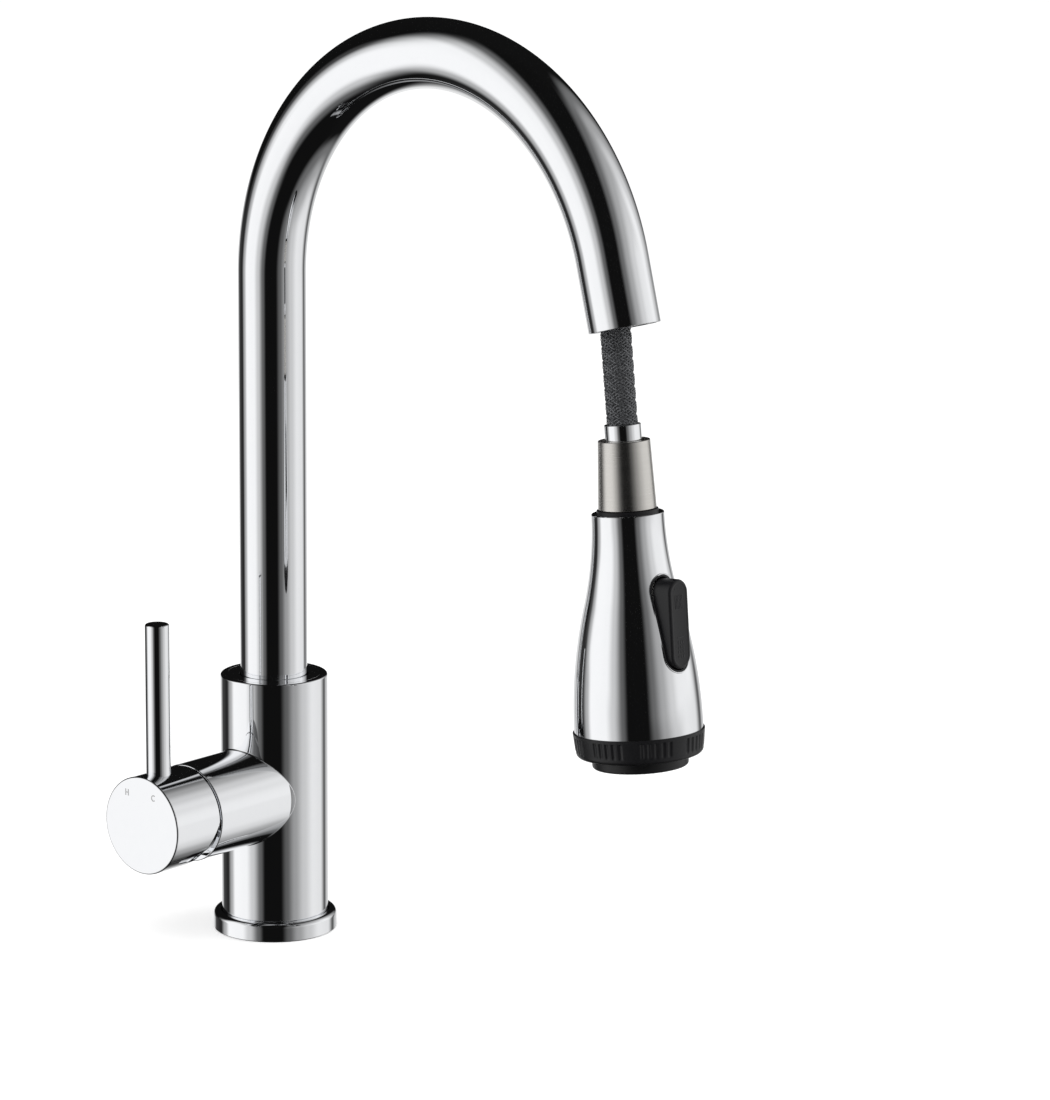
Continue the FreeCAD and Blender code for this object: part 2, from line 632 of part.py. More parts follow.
def bell_curve(inset="0", top="bell_top", bottom="bell_bottom"):
    """The bell's outer curve from its top to its bottom, moved in by an amount."""
    return [
        ("bell_top_radius - %s" % inset, top, "-flare_radius"),
        ("waist_radius - %s" % inset, "bell_waist", "skirt_radius"),
        ("bell_radius - %s" % inset, bottom),
    ]


def bell_shell():
    body = new_body("bell_shell", head_frame())
    middle = "core_radius + fit_gap"
    outside = [(middle, "bell_top")] + bell_curve() + [(middle, "bell_bottom")]
    turn(body, outline(body, "XZ", outside))
    ceiling = "bell_top + bell_wall"
    below = "bell_bottom + overcut"
    inside = bell_curve("bell_wall", ceiling, below)
    turn(body, outline(body, "XZ", [("seam_gap", ceiling)] + inside + [("seam_gap", below)]), "Groove")
    slot = stadium(body, "XZ", "rocker_middle", "slot_length", "slot_width")
    pocket(body, slot, "bell_radius + overcut")


def outside_cut(body, inset):
    """Trim a piece to the bell's outer curve, moved in by an amount."""
    clear = [("2 * bell_radius", "bell_bottom"), ("2 * bell_radius", "bell_top")]
    turn(body, outline(body, "XZ", bell_curve(inset) + clear), "Groove")


def rocker_parts():
    bezel = new_body("rocker_bezel", head_frame())
    length = "slot_length - seam_gap"
    width = "slot_width - seam_gap"
    frame = stadium(bezel, "XZ", "rocker_middle", length, width, "-bezel_back")
    pad(bezel, frame, "bell_radius", reverse=True)
    length += " - 2 * bezel_wall"
    width += " - 2 * bezel_wall"
    hole = stadium(bezel, "XZ", "rocker_middle", length, width, "-bezel_back")
    pocket(bezel, hole, "bell_radius")
    outside_cut(bezel, "bezel_inset")
    pivot = circles(bezel, "YZ", [("rocker_pivot", "rocker_middle", "rocker_pin + running_gap")])
    pocket(bezel, pivot, "slot_width + 2 * overcut", middle=True)
    rocker = new_body("rocker_button", head_frame())
    face = stadium(rocker, "XZ", "rocker_middle", "rocker_length", "rocker_width", "-rocker_back")
    pad(rocker, face, "rocker_face - rocker_back", reverse=True)
    lug = box(rocker, "XZ", "-lug_half", "rocker_middle - lug_half", "lug_half",
              "rocker_middle + lug_half", "-lug_tip")
    pad(rocker, lug, "rocker_back - lug_tip + overcut", reverse=True)
    hole = circles(rocker, "YZ", [("rocker_pivot", "rocker_middle", "rocker_pin + running_gap")])
    pocket(rocker, hole, "rocker_width + 2 * overcut", middle=True)
    pin = new_body("rocker_pin", head_frame())
    rod = circles(pin, "YZ", [("rocker_pivot", "rocker_middle", "rocker_pin")])
    pad(pin, rod, "slot_width - 4 * seam_gap", middle=True)


def diverter():
    block = new_body("diverter_block", head_frame())
    outer = box(block, "XY", "-block_half", "block_back", "block_half", "block_front",
                "rocker_middle - block_length / 2")
    pad(block, outer, "block_length")
    bore = circles(block, "XY", [("0", "spool_reach", "spool_radius + running_gap")],
                   "rocker_middle - block_length / 2")
    pocket(block, bore, "block_length", reverse=True)
    side = "lug_half + window_gap"
    window = box(block, "XZ", "-(%s)" % side, "rocker_middle - window_half", side,
                 "rocker_middle + window_half", "-block_front")
    pocket(block, window, "block_front - spool_reach", reverse=True)
    spool = new_body("diverter_spool", head_frame())
    rod = circles(spool, "XY", [("0", "spool_reach", "spool_radius")],
                  "rocker_middle - spool_length / 2")
    pad(spool, rod, "spool_length")
    notch = box(spool, "XZ", "-spool_radius", "rocker_middle - notch_half", "spool_radius",
                "rocker_middle + notch_half", "-notch_floor")
    pocket(spool, notch, "spool_radius + overcut")


def nozzle():
    turned("manifold", [
        ("core_radius + fit_gap", "manifold_top"),
        ("core_radius + manifold_wall", "manifold_top"),
        ("manifold_radius", "manifold_shoulder"), ("manifold_radius", "manifold_bottom"),
        ("manifold_radius - manifold_wall", "manifold_bottom"),
        ("manifold_radius - manifold_wall", "manifold_shoulder + overcut"),
        ("core_radius + fit_gap", "core_end + 2 * overcut"),
    ], head_frame())
    around = "manifold_radius + seal_ring_radius + running_gap"
    torus("nozzle_oring", around, "seal_ring_radius", "seal_ring_level", head_frame())
    turned("serrated_ring", [
        ("grip_bore", "bell_bottom"), ("grip_radius - edge_break", "bell_bottom"),
        ("grip_radius", "bell_bottom + edge_break"),
        ("grip_low_radius", "grip_bottom - grip_round", "grip_round"),
        ("grip_low_radius - grip_round", "grip_bottom"), ("grip_bore", "grip_bottom"),
    ], head_frame())
    recess = "nozzle_bottom - spray_depth"
    turned("nozzle_face", [
        ("aerator_radius + fit_gap", "nozzle_top"), ("nozzle_radius", "nozzle_top"),
        ("nozzle_radius", "nozzle_bottom - nozzle_round", "nozzle_round"),
        ("nozzle_radius - nozzle_round", "nozzle_bottom"), ("spray_outer", "nozzle_bottom"),
        ("spray_outer", recess), ("spray_inner", recess), ("spray_inner", "nozzle_bottom"),
        ("aerator_radius + fit_gap", "nozzle_bottom"),
    ], head_frame())
    ring("spray_plate", "spray_inner + fit_gap", "spray_outer - fit_gap", recess,
         "nozzle_bottom - edge_break", head_frame())
    ring("aerator_insert", "aerator_bore", "aerator_radius", "aerator_top", "aerator_bottom",
         head_frame())


# ---- build ----------------------------------------------------------------------------------

def check(body):
    pieces = [body] + list(getattr(body, "Group", []))
    for piece in pieces:
        if "Invalid" in piece.State or "Error" in piece.State:
            raise SystemExit("%s of %s failed" % (piece.Name, body.Label))
    shape = body.Shape
    if shape.isNull() or not shape.isValid() or len(shape.Solids) != 1:
        raise SystemExit("%s has no sound single solid" % body.Label)


def main():
    base_gasket()
    base_ring()
    faucet_body()
    deck_fixing()
    swivel()
    spout_tube()
    hose_in_spout()
    hose_exposed()
    dock_bush()
    cartridge()
    turret()
    stem()
    valve_trim()
    handle_cap()
    lever_rod()
    hose_end()
    ball_seat()
    cone()
    bell_shell()
    rocker_parts()
    diverter()
    nozzle()
    doc.recompute()
    os.makedirs("parts", exist_ok=True)
    for body in nodes:
        check(body)
    for body in nodes:
        body.Shape.exportStep("parts/%s.step" % body.Label)
    print("nodes: %d, hose bend radius: %.2f mm" % (len(nodes), hose_bend()))


main()
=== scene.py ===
import json
import math

import bmesh
import bpy
import numpy as np
from mathutils import Matrix, Vector


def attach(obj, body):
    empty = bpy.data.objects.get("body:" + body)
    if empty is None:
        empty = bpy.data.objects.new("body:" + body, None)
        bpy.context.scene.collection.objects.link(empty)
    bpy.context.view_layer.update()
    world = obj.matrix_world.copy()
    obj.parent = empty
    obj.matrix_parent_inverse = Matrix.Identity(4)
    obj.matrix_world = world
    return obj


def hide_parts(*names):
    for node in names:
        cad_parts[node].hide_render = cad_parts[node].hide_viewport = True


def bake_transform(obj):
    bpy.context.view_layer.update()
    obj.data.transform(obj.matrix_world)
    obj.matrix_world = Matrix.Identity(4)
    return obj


# A pull-down kitchen faucet around its CAD frame. Outlines below are in millimetres, as (radius,
# distance along the axis); the frame and the scene are in metres.

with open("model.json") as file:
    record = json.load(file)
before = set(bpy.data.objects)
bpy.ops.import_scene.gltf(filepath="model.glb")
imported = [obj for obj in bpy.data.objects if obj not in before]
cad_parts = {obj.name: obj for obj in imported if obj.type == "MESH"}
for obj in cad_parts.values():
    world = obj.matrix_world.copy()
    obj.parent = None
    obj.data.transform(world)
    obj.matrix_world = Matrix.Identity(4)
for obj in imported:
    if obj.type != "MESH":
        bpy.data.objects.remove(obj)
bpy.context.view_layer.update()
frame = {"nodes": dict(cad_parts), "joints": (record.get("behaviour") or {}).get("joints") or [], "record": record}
joints = {joint["name"]: joint for joint in frame["joints"]}
MM = 0.001
TINY = 1e-6


# ---- frames ---------------------------------------------------------------------------------

def vec(values):
    return np.array(values, float)


def unit(v):
    return v / np.linalg.norm(v)


def axes(origin, z, x):
    """(origin in mm, X, Y, Z) with Z along z and X as near to x as it can be."""
    z = unit(vec(z))
    x = unit(vec(x) - z * np.dot(z, vec(x)))
    return vec(origin), x, np.cross(z, x), z


def point_on(base, x, y, z):
    return base[0] + base[1] * x + base[2] * y + base[3] * z


UPRIGHT = axes((0, 0, 0), (0, 0, 1), (1, 0, 0))

# The valve's axis, whose distances start on the riser's axis, 46 mm behind the handle's pivot.
PIVOT_REACH = 46.0
valve_axis = vec(joints["handle_turn"]["axis"])
pivot = vec(joints["handle_turn"]["pos_m"]) / MM
VALVE = axes(pivot - valve_axis * PIVOT_REACH, valve_axis, (0, 0, 1))

# The head's axis, whose distances start 8 mm beyond the ball, and the hose's, from the ball.
BALL_DEPTH = 8.0
ball = vec(joints["head_tilt"]["pos_m"]) / MM
head_axis = vec(joints["head_spin"]["axis"])
hose_axis = vec(joints["head_pull"]["axis"])
HEAD = axes(ball + head_axis * BALL_DEPTH, head_axis, (1, 0, 0))
HOSE = axes(ball, hose_axis, (1, 0, 0))
HEAD_LEAN = math.atan2(-head_axis[1], -head_axis[2])
HOSE_LEAN = math.atan2(-hose_axis[1], -hose_axis[2])

RISER_TOP = 278.5
TUBE_FOOT = 86.0
BEND = 97.0
BEND_ANGLE = math.radians(165.0)
TAIL = 26.0
RISER = RISER_TOP - TUBE_FOOT
ARC = BEND * BEND_ANGLE
SPOUT_LENGTH = RISER + ARC + TAIL


def on_bend(radius, angle, beyond):
    """The frame at an angle round a bend that starts at the riser's top, or straight beyond it."""
    z = vec((0, -math.sin(angle), math.cos(angle)))
    origin = vec((0, -radius + radius * math.cos(angle), RISER_TOP + radius * math.sin(angle)))
    x = vec((1, 0, 0))
    return origin + z * beyond, x, np.cross(z, x), z


def along_spout(s):
    """The frame at a distance s along the spout's centre line, from its foot to its mouth."""
    angle = min(max(s - RISER, 0.0) / BEND, BEND_ANGLE)
    return on_bend(BEND, angle, max(s - RISER - ARC, 0.0) + min(s - RISER, 0.0))


mouth = along_spout(SPOUT_LENGTH)
MOUTH = axes(mouth[0], -mouth[3], (1, 0, 0))

# The hose's bend starts at the riser's top too, and runs into the straight line to the ball.
HOSE_BEND = (-ball[1] * math.cos(HOSE_LEAN) - (RISER_TOP - ball[2]) * math.sin(HOSE_LEAN)) / (
    1 + math.cos(HOSE_LEAN))
HOSE_START = math.radians(152.0)
HOSE_ARC = (math.pi - HOSE_LEAN - HOSE_START) * HOSE_BEND
FERRULE_TOP = -13.5


def along_hose(s):
    """The frame at a distance along the hose that shows, from inside the spout to the ferrule."""
    angle = HOSE_START + min(s, HOSE_ARC) / HOSE_BEND
    return on_bend(HOSE_BEND, angle, max(s - HOSE_ARC, 0.0))


HOSE_LENGTH = HOSE_ARC + np.linalg.norm(
    point_on(HOSE, 0, 0, FERRULE_TOP) - along_hose(HOSE_ARC)[0])


# ---- outlines -------------------------------------------------------------------------------

ARC_STEPS = 28
MARK_GAP = 0.01


def arc_run(first, last, radius, steps):
    """Steps of an arc between two points; a negative radius is hollow instead of crowned."""
    first = vec(first)
    last = vec(last)
    chord = last - first
    half = np.linalg.norm(chord) / 2
    left = unit(vec((-chord[1], chord[0])))
    side = 1.0 if radius > 0 else -1.0
    centre = (first + last) / 2 + left * side * math.sqrt(radius * radius - half * half)
    start = math.atan2(*(first - centre)[::-1])
    sweep = 2 * math.asin(half / abs(radius)) * side
    spots = []
    for step in range(steps + 1):
        angle = start + sweep * step / steps
        away = vec((math.cos(angle), math.sin(angle)))
        spots.append((centre + away * abs(radius), away * side))
    return spots


def rounded(before, here, after, radius, steps=6):
    """The arc that rounds a corner, as (point, normal) pairs."""
    back = unit(vec(before) - vec(here))
    on = unit(vec(after) - vec(here))
    half = math.acos(np.clip(np.dot(back, on), -1, 1)) / 2
    reach = radius / math.tan(half)
    turn = on[0] * back[1] - on[1] * back[0]
    signed = radius if turn > 0 else -radius
    return arc_run(vec(here) + back * reach, vec(here) + on * reach, signed, steps)


def straight_run(first, last):
    """A straight run, whose normal points to its right."""
    way = unit(last - first)
    normal = vec((way[1], -way[0]))
    return first, last, normal, normal


def outline(corners):
    """Runs of a closed outline, anticlockwise. A corner is (r, s), (r, s, rounding) or
    (r, s, 0, radius) where an arc leads on to the next one. A run is two points and their normals."""
    count = len(corners)
    flat = [vec(corner[:2]) for corner in corners]
    arcs = [
        rounded(flat[i - 1], flat[i], flat[(i + 1) % count], corner[2])
        if len(corner) == 3 else [(flat[i], None), (flat[i], None)]
        for i, corner in enumerate(corners)
    ]
    runs = []
    for i, corner in enumerate(corners):
        if len(corner) == 3:
            runs += [(a[0], b[0], a[1], b[1]) for a, b in zip(arcs[i], arcs[i][1:])]
        first = arcs[i][-1][0]
        last = arcs[(i + 1) % count][0][0]
        if len(corner) == 4:
            spots = arc_run(first, last, corner[3], ARC_STEPS)
            runs += [(a[0], b[0], a[1], b[1]) for a, b in zip(spots, spots[1:])]
        elif np.linalg.norm(last - first) > TINY:
            runs.append(straight_run(first, last))
    return runs


def split_runs(runs, marks):
    """Cut the runs that lie along the axis at the marks, so that they can follow a bend."""
    out = []
    for first, last, n0, n1 in runs:
        low, high = sorted((first[1], last[1]))
        cuts = [m for m in marks if low + MARK_GAP < m < high - MARK_GAP]
        if abs(first[0] - last[0]) > TINY or not cuts:
            out.append((first, last, n0, n1))
            continue
        if first[1] > last[1]:
            cuts.reverse()
        spots = [first] + [vec((first[0], m)) for m in cuts] + [last]
        out += [(a, b, n0, n1) for a, b in zip(spots, spots[1:])]
    return out


# ---- meshes ---------------------------------------------------------------------------------

SHARP = math.radians(35)


def new_piece(name, verts, faces, normals=None):
    """A mesh object from points in mm. normals has one vector for each face corner."""
    mesh = bpy.data.meshes.new(name)
    mesh.from_pydata((np.asarray(verts, float) * MM).tolist(), [], faces)
    mesh.update()
    piece = bpy.data.objects.new(name, mesh)
    bpy.context.scene.collection.objects.link(piece)
    mesh.shade_smooth()
    if normals is not None:
        mesh.normals_split_custom_set(np.concatenate(normals).tolist())
    else:
        mesh.set_sharp_from_angle(angle=SHARP)
    return piece


def turned_mesh(runs, base, steps, frame_at=None):
    """Points, faces and corner normals of outline runs turned round the base's axis. runs may be
    a function of the angle. frame_at gives the frame at a distance along a curved axis instead."""
    angles = np.arange(steps) * (2 * math.pi / steps)
    around = [runs(angle) for angle in angles] if callable(runs) else [np.array(runs, float)] * steps
    table = np.stack(around, axis=1)
    count = len(table)
    cos = np.cos(angles)[None, :, None]
    sin = np.sin(angles)[None, :, None]
    ends = []
    for end in (0, 1):
        radius = table[:, :, end, 0, None]
        along = table[:, :, end, 1, None]
        if frame_at:
            frames = [frame_at(row[0, end, 1]) for row in table]
            origin, x, y, z = (np.array([f[k] for f in frames])[:, None, :] for k in range(4))
            spots = origin
        else:
            origin, x, y, z = base
            spots = origin + z * along
        out = x * cos + y * sin
        normal = out * table[:, :, end + 2, 0, None] + z * table[:, :, end + 2, 1, None]
        ends.append((spots + out * radius, normal))
    pole = table[:, 0, :2, 0] < TINY
    index = np.arange(count * steps).reshape(count, steps)
    index[pole[:, 0]] = index[pole[:, 0], :1]
    verts = ends[0][0].reshape(-1, 3)
    faces = []
    normals = []
    for i in range(count):
        if pole[i].all():
            continue
        low = index[i]
        high = index[(i + 1) % count]
        ring = [low, np.roll(low, -1), np.roll(high, -1), high]
        before, after = ends[0][1][i], ends[1][1][i]
        way = [before, np.roll(before, -1, 0), np.roll(after, -1, 0), after]
        keep = [0, 2, 3] if pole[i, 0] else [0, 1, 2] if pole[i, 1] else [0, 1, 2, 3]
        faces += np.stack([ring[k] for k in keep], axis=1).tolist()
        normals += list(np.stack([way[k] for k in keep], axis=1))
    return verts, faces, normals


def turned(name, corners, base, steps, marks=(), frame_at=None):
    """A piece from an outline's corners, turned round the base's axis or along a curved one."""
    runs = split_runs(outline(corners), marks)
    return new_piece(name, *turned_mesh(runs, base, steps, frame_at))


def joined(name, parts):
    """One mesh from several (points, faces) pairs."""
    verts = []
    faces = []
    for more_verts, more_faces in parts:
        base = len(verts)
        verts += [tuple(v) for v in more_verts]
        faces += [[base + i for i in face] for face in more_faces]
    return new_piece(name, verts, faces)


def block(base, low, high, edge=0.0):
    """Points and faces of a box in a frame, with its upper edges bevelled."""
    verts = []
    rows = [(low[2], 0.0), (high[2] - edge, 0.0)] + ([(high[2], edge)] if edge else [])
    for z, inset in rows:
        for x, y in ((low[0] + inset, low[1] + inset), (high[0] - inset, low[1] + inset),
                     (high[0] - inset, high[1] - inset), (low[0] + inset, high[1] - inset)):
            verts.append(point_on(base, x, y, z))
    faces = [[3, 2, 1, 0]]
    for row in range(len(rows) - 1):
        for i in range(4):
            j = (i + 1) % 4
            faces.append([4 * row + i, 4 * row + j, 4 * row + 4 + j, 4 * row + 4 + i])
    top = 4 * (len(rows) - 1)
    faces.append([top, top + 1, top + 2, top + 3])
    return verts, faces


def finished(piece, slot, nodes=()):
    """Give a piece its finish, and hide the CAD nodes it stands for."""
    piece.data.materials.append(finishes[slot])
    if nodes:
        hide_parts(*nodes)
    return piece


def place(piece, body, slot, nodes=()):
    """Finish a piece that moves with one body."""
    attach(finished(piece, slot, nodes), body)
    return piece


# ---- finishes -------------------------------------------------------------------------------

BROAD_GRAIN = 34.0


def finish_of(name, tones, rough, grain, bump=0.0, metallic=0.0, stretch=(1, 1, 1), lean=0.0,
              **fixed):
    """A procedural finish: two tones and a bump driven by fine noise, and a range of roughness
    driven by fine and broad noise together. grain is the fine noise's scale, and bump is in mm.
    stretch scales the grain's coordinates after a lean about X, for brushed or drawn metal."""
    mat = bpy.data.materials.new(name)
    mat.use_nodes = True
    tree = mat.node_tree
    shader = tree.nodes["Principled BSDF"]
    shader.inputs["Metallic"].default_value = metallic
    for socket, value in fixed.items():
        shader.inputs[socket.replace("_", " ")].default_value = value
    where = tree.nodes.new("ShaderNodeTexCoord")
    mapping = tree.nodes.new("ShaderNodeMapping")
    mapping.inputs["Scale"].default_value = stretch
    turner = tree.nodes.new("ShaderNodeVectorRotate")
    turner.rotation_type = "X_AXIS"
    turner.inputs["Angle"].default_value = lean
    noise = tree.nodes.new("ShaderNodeTexNoise")
    noise.inputs["Scale"].default_value = grain
    noise.inputs["Detail"].default_value = 4.0
    broad = tree.nodes.new("ShaderNodeTexNoise")
    broad.inputs["Scale"].default_value = BROAD_GRAIN
    broad.inputs["Detail"].default_value = 2.0
    tree.links.new(where.outputs["Object"], turner.inputs["Vector"])
    tree.links.new(turner.outputs["Vector"], mapping.inputs["Vector"])
    tree.links.new(mapping.outputs["Vector"], noise.inputs["Vector"])
    tree.links.new(where.outputs["Object"], broad.inputs["Vector"])
    mix = tree.nodes.new("ShaderNodeMix")
    mix.data_type = "RGBA"
    mix.inputs["A"].default_value = (*tones[0], 1)
    mix.inputs["B"].default_value = (*tones[1], 1)
    tree.links.new(noise.outputs["Fac"], mix.inputs["Factor"])
    tree.links.new(mix.outputs["Result"], shader.inputs["Base Color"])
    spread = tree.nodes.new("ShaderNodeMapRange")
    spread.inputs["From Min"].default_value = 0.3
    spread.inputs["From Max"].default_value = 0.7
    spread.inputs["To Min"].default_value = rough[0]
    spread.inputs["To Max"].default_value = rough[1]
    both = tree.nodes.new("ShaderNodeMath")
    both.operation = "MULTIPLY_ADD"
    both.inputs[1].default_value = 0.5
    half = tree.nodes.new("ShaderNodeMath")
    half.operation = "MULTIPLY"
    half.inputs[1].default_value = 0.5
    tree.links.new(noise.outputs["Fac"], both.inputs[0])
    tree.links.new(broad.outputs["Fac"], half.inputs[0])
    tree.links.new(half.outputs[0], both.inputs[2])
    tree.links.new(both.outputs[0], spread.inputs["Value"])
    tree.links.new(spread.outputs["Result"], shader.inputs["Roughness"])
    if bump:
        relief = tree.nodes.new("ShaderNodeBump")
        relief.inputs["Strength"].default_value = 1.0
        relief.inputs["Distance"].default_value = bump * MM
        tree.links.new(noise.outputs["Fac"], relief.inputs["Height"])
        tree.links.new(relief.outputs["Normal"], shader.inputs["Normal"])
    return mat


FINISHES = {
    "chrome": dict(
        tones=((0.915, 0.925, 0.945), (0.94, 0.948, 0.962)), rough=(0.012, 0.05), grain=260.0,
        metallic=1.0),
    "brushed_nickel": dict(
        tones=((0.62, 0.60, 0.57), (0.76, 0.74, 0.705)), rough=(0.20, 0.30), grain=60.0,
        bump=0.005, metallic=1.0, stretch=(1.5, 1.5, 60.0), lean=HEAD_LEAN),
    "brass": dict(
        tones=((0.66, 0.47, 0.21), (0.80, 0.62, 0.32)), rough=(0.22, 0.42), grain=500.0,
        bump=0.01, metallic=1.0),
    "steel": dict(
        tones=((0.50, 0.50, 0.50), (0.62, 0.62, 0.62)), rough=(0.28, 0.45), grain=420.0,
        bump=0.01, metallic=1.0),
    "rubber": dict(
        tones=((0.022, 0.022, 0.023), (0.04, 0.04, 0.042)), rough=(0.6, 0.8), grain=900.0,
        bump=0.03),
    "inner_plastic": dict(
        tones=((0.72, 0.72, 0.70), (0.80, 0.80, 0.78)), rough=(0.4, 0.55), grain=700.0,
        bump=0.02),
    "ceramic": dict(
        tones=((0.84, 0.84, 0.82), (0.90, 0.90, 0.88)), rough=(0.12, 0.2), grain=600.0,
        bump=0.004, Coat_Weight=0.3),
    "black_plastic": dict(
        tones=((0.005, 0.005, 0.006), (0.010, 0.010, 0.011)), rough=(0.28, 0.40), grain=1400.0,
        bump=0.018, Specular_IOR_Level=0.34),
    "grey_silicone": dict(
        tones=((0.10, 0.10, 0.105), (0.15, 0.15, 0.155)), rough=(0.5, 0.65), grain=900.0,
        bump=0.02),
    "hose_braid": dict(
        tones=((0.01, 0.0105, 0.012), (0.34, 0.348, 0.365)), rough=(0.16, 0.28), grain=1500.0,
        bump=0.012, metallic=0.8, Specular_IOR_Level=1.0),
}
finishes = {name: finish_of(name, **values) for name, values in FINISHES.items()}


# ---- base and body --------------------------------------------------------------------------

GASKET_TOP = 1.0
RING_RADIUS = 26.0
RING_LIP = 25.3
RING_TOP = 8.0
BODY_RADIUS = 22.4
BODY_TOP = 110.0
BODY_STEP = 2.2
BORE_FOOT = 16.0
GLAND_FOOT = 105.0
SOCKET_FOOT = 83.5
BARREL_RADIUS = 20.3
BARREL_BORE = 17.6
BARREL_START = 12.0
BARREL_END = 54.0
BONNET_FACE = 56.5
FILLET_RADIUS = 0.6


def fillet(name, radius):
    """The polished corner where the barrel leaves the body: a ball rolled along both of them. It
    runs a little way into each of them."""
    steps = 288
    across = 9
    over = 0.06
    wide = BODY_RADIUS + radius
    barrel = BARREL_RADIUS + radius
    verts = []
    normals = []
    for j in range(steps):
        angle = 2 * math.pi * j / steps
        up = barrel * math.cos(angle)
        side = barrel * math.sin(angle)
        out = math.sqrt(wide * wide - side * side)
        centre = point_on(VALVE, up, side, out)
        from_body = unit(centre - vec((0, 0, centre[2])))
        from_barrel = unit(VALVE[1] * up + VALVE[2] * side)
        spread = math.acos(np.clip(np.dot(from_body, from_barrel), -1, 1))
        for i in range(across):
            t = -over + (1 + 2 * over) * i / (across - 1)
            away = from_body * math.sin((1 - t) * spread) + from_barrel * math.sin(t * spread)
            away = away / math.sin(spread)
            verts.append(centre - away * radius)
            normals.append(away)
    faces = []
    corners = []
    for j in range(steps):
        k = (j + 1) % steps
        for i in range(across - 1):
            ring = [j * across + i, k * across + i, k * across + i + 1, j * across + i + 1]
            faces.append(ring)
            corners.append([normals[n] for n in ring])
    return new_piece(name, verts, faces, corners)


def build_body():
    place(turned("escutcheon", [
        (18, GASKET_TOP), (RING_LIP, GASKET_TOP), (RING_LIP, 0.3), (RING_RADIUS, 0.3, 0.3),
        (RING_RADIUS, RING_TOP, 2.2), (22.9, RING_TOP, 0.25), (22.6, 7.4), (22.6, BODY_STEP),
        (18, BODY_STEP),
    ], UPRIGHT, 224), "deck_body", "chrome", ["base_ring"])
    place(turned("body_tube", [
        (17.05, BODY_STEP), (BODY_RADIUS, BODY_STEP), (BODY_RADIUS, BODY_TOP, 0.8),
        (19.65, BODY_TOP, 0.1), (19.65, GLAND_FOOT), (18.35, GLAND_FOOT), (18.35, SOCKET_FOOT),
        (7, SOCKET_FOOT), (7, BORE_FOOT), (17.05, BORE_FOOT),
    ], UPRIGHT, 256), "deck_body", "chrome", ["faucet_body"])
    place(turned("valve_barrel", [
        (BARREL_BORE, 20), (BARREL_BORE, BARREL_START), (BARREL_RADIUS, BARREL_START),
        (BARREL_RADIUS, BARREL_END, 0.5), (BARREL_BORE, BARREL_END, 0.2),
    ], VALVE, 224), "deck_body", "chrome")
    place(fillet("barrel_fillet", FILLET_RADIUS), "deck_body", "chrome")
    place(turned("swivel_gland", [
        (14.3, GLAND_FOOT), (19.6, GLAND_FOOT), (19.6, BODY_TOP, 0.1), (14.3, BODY_TOP, 0.45),
    ], UPRIGHT, 192), "deck_body", "chrome", ["gland_ring"])
    place(turned("valve_bonnet", [
        (12.5, 50), (17.5, 50), (17.5, BARREL_END), (18, BARREL_END), (18, 55, 0.3),
        (13.9, BONNET_FACE, 2.0), (9.8, BONNET_FACE, 0.3), (9.8, 55.3), (12.5, 52.6),
    ], VALVE, 128), "deck_body", "chrome", ["bonnet"])


# ---- parts under the deck -------------------------------------------------------------------

SHANK_RADIUS = 17.0
SHANK_FOOT = -58.0
THREAD_FOOT = -57.0
THREAD_LENGTH = 64.0
THREAD_TOP = THREAD_FOOT + THREAD_LENGTH
THREAD_PITCH = 1.5
THREAD_DEPTH = 0.9
THREAD_FLANK = 2.4
THREAD_ROW = 0.25


def build_shank():
    """The threaded shank, with a real helix. The parts under the deck stay out of the chrome's
    reflections, because the floor, which would hide them, is left out of reflections too."""
    steps = 96
    rows = int(THREAD_LENGTH / THREAD_ROW)
    verts = []
    for row in range(rows + 1):
        z = THREAD_FOOT + THREAD_LENGTH * row / rows
        for j in range(steps):
            angle = 2 * math.pi * j / steps
            phase = (z / THREAD_PITCH - j / steps) % 1.0
            depth = THREAD_DEPTH * min(1.0, max(0.0, THREAD_FLANK * abs(phase - 0.5)))
            radius = SHANK_RADIUS - depth
            verts.append((math.cos(angle) * radius, math.sin(angle) * radius, z))
    faces = []
    for row in range(rows):
        for j in range(steps):
            k = (j + 1) % steps
            low, high = row * steps, (row + 1) * steps
            faces.append([low + j, low + k, high + k, high + j])
    thread = place(new_piece("shank_thread", verts, faces), "deck_body", "brass")
    core = place(turned("shank_core", [
        (14.8, SHANK_FOOT, 0.3), (16.1, SHANK_FOOT, 0.5), (16.1, THREAD_TOP),
        (SHANK_RADIUS, THREAD_TOP), (SHANK_RADIUS, BORE_FOOT), (14.8, BORE_FOOT),
    ], UPRIGHT, 128), "deck_body", "brass", ["mounting_shank"])
    under = ("mounting_nut", "deck_washer_steel", "deck_washer_rubber")
    for piece in [thread, core] + [frame["nodes"][node] for node in under]:
        piece.visible_glossy = False


# ---- handle ---------------------------------------------------------------------------------

CAP_START = 55.2
CAP_FACE = 80.4
CAP_BORE = 18.4
CAP_FLOOR = 61.8
RIM_SLOPE = math.tan(math.radians(23.5))
LEVER_PLACE = 70.0
LEVER_RADIUS = 5.0
LEVER_FOOT = 8.1
LEVER_TOP = 82.6
MARK_FOOT = CAP_FACE - 0.02
MARK_TOP = CAP_FACE + 0.05


def cap_runs(angle):
    """The cap's outline at an angle round the valve; its lower half is cut back at a slant."""
    def rim(radius):
        return CAP_START + max(0.0, -radius * math.cos(angle)) * RIM_SLOPE

    return outline([
        (CAP_BORE, rim(CAP_BORE)), (BARREL_RADIUS, rim(BARREL_RADIUS), 0.28),
        (BARREL_RADIUS, CAP_FACE, 0.75), (0, CAP_FACE), (0, CAP_FLOOR), (CAP_BORE, CAP_FLOOR),
    ])


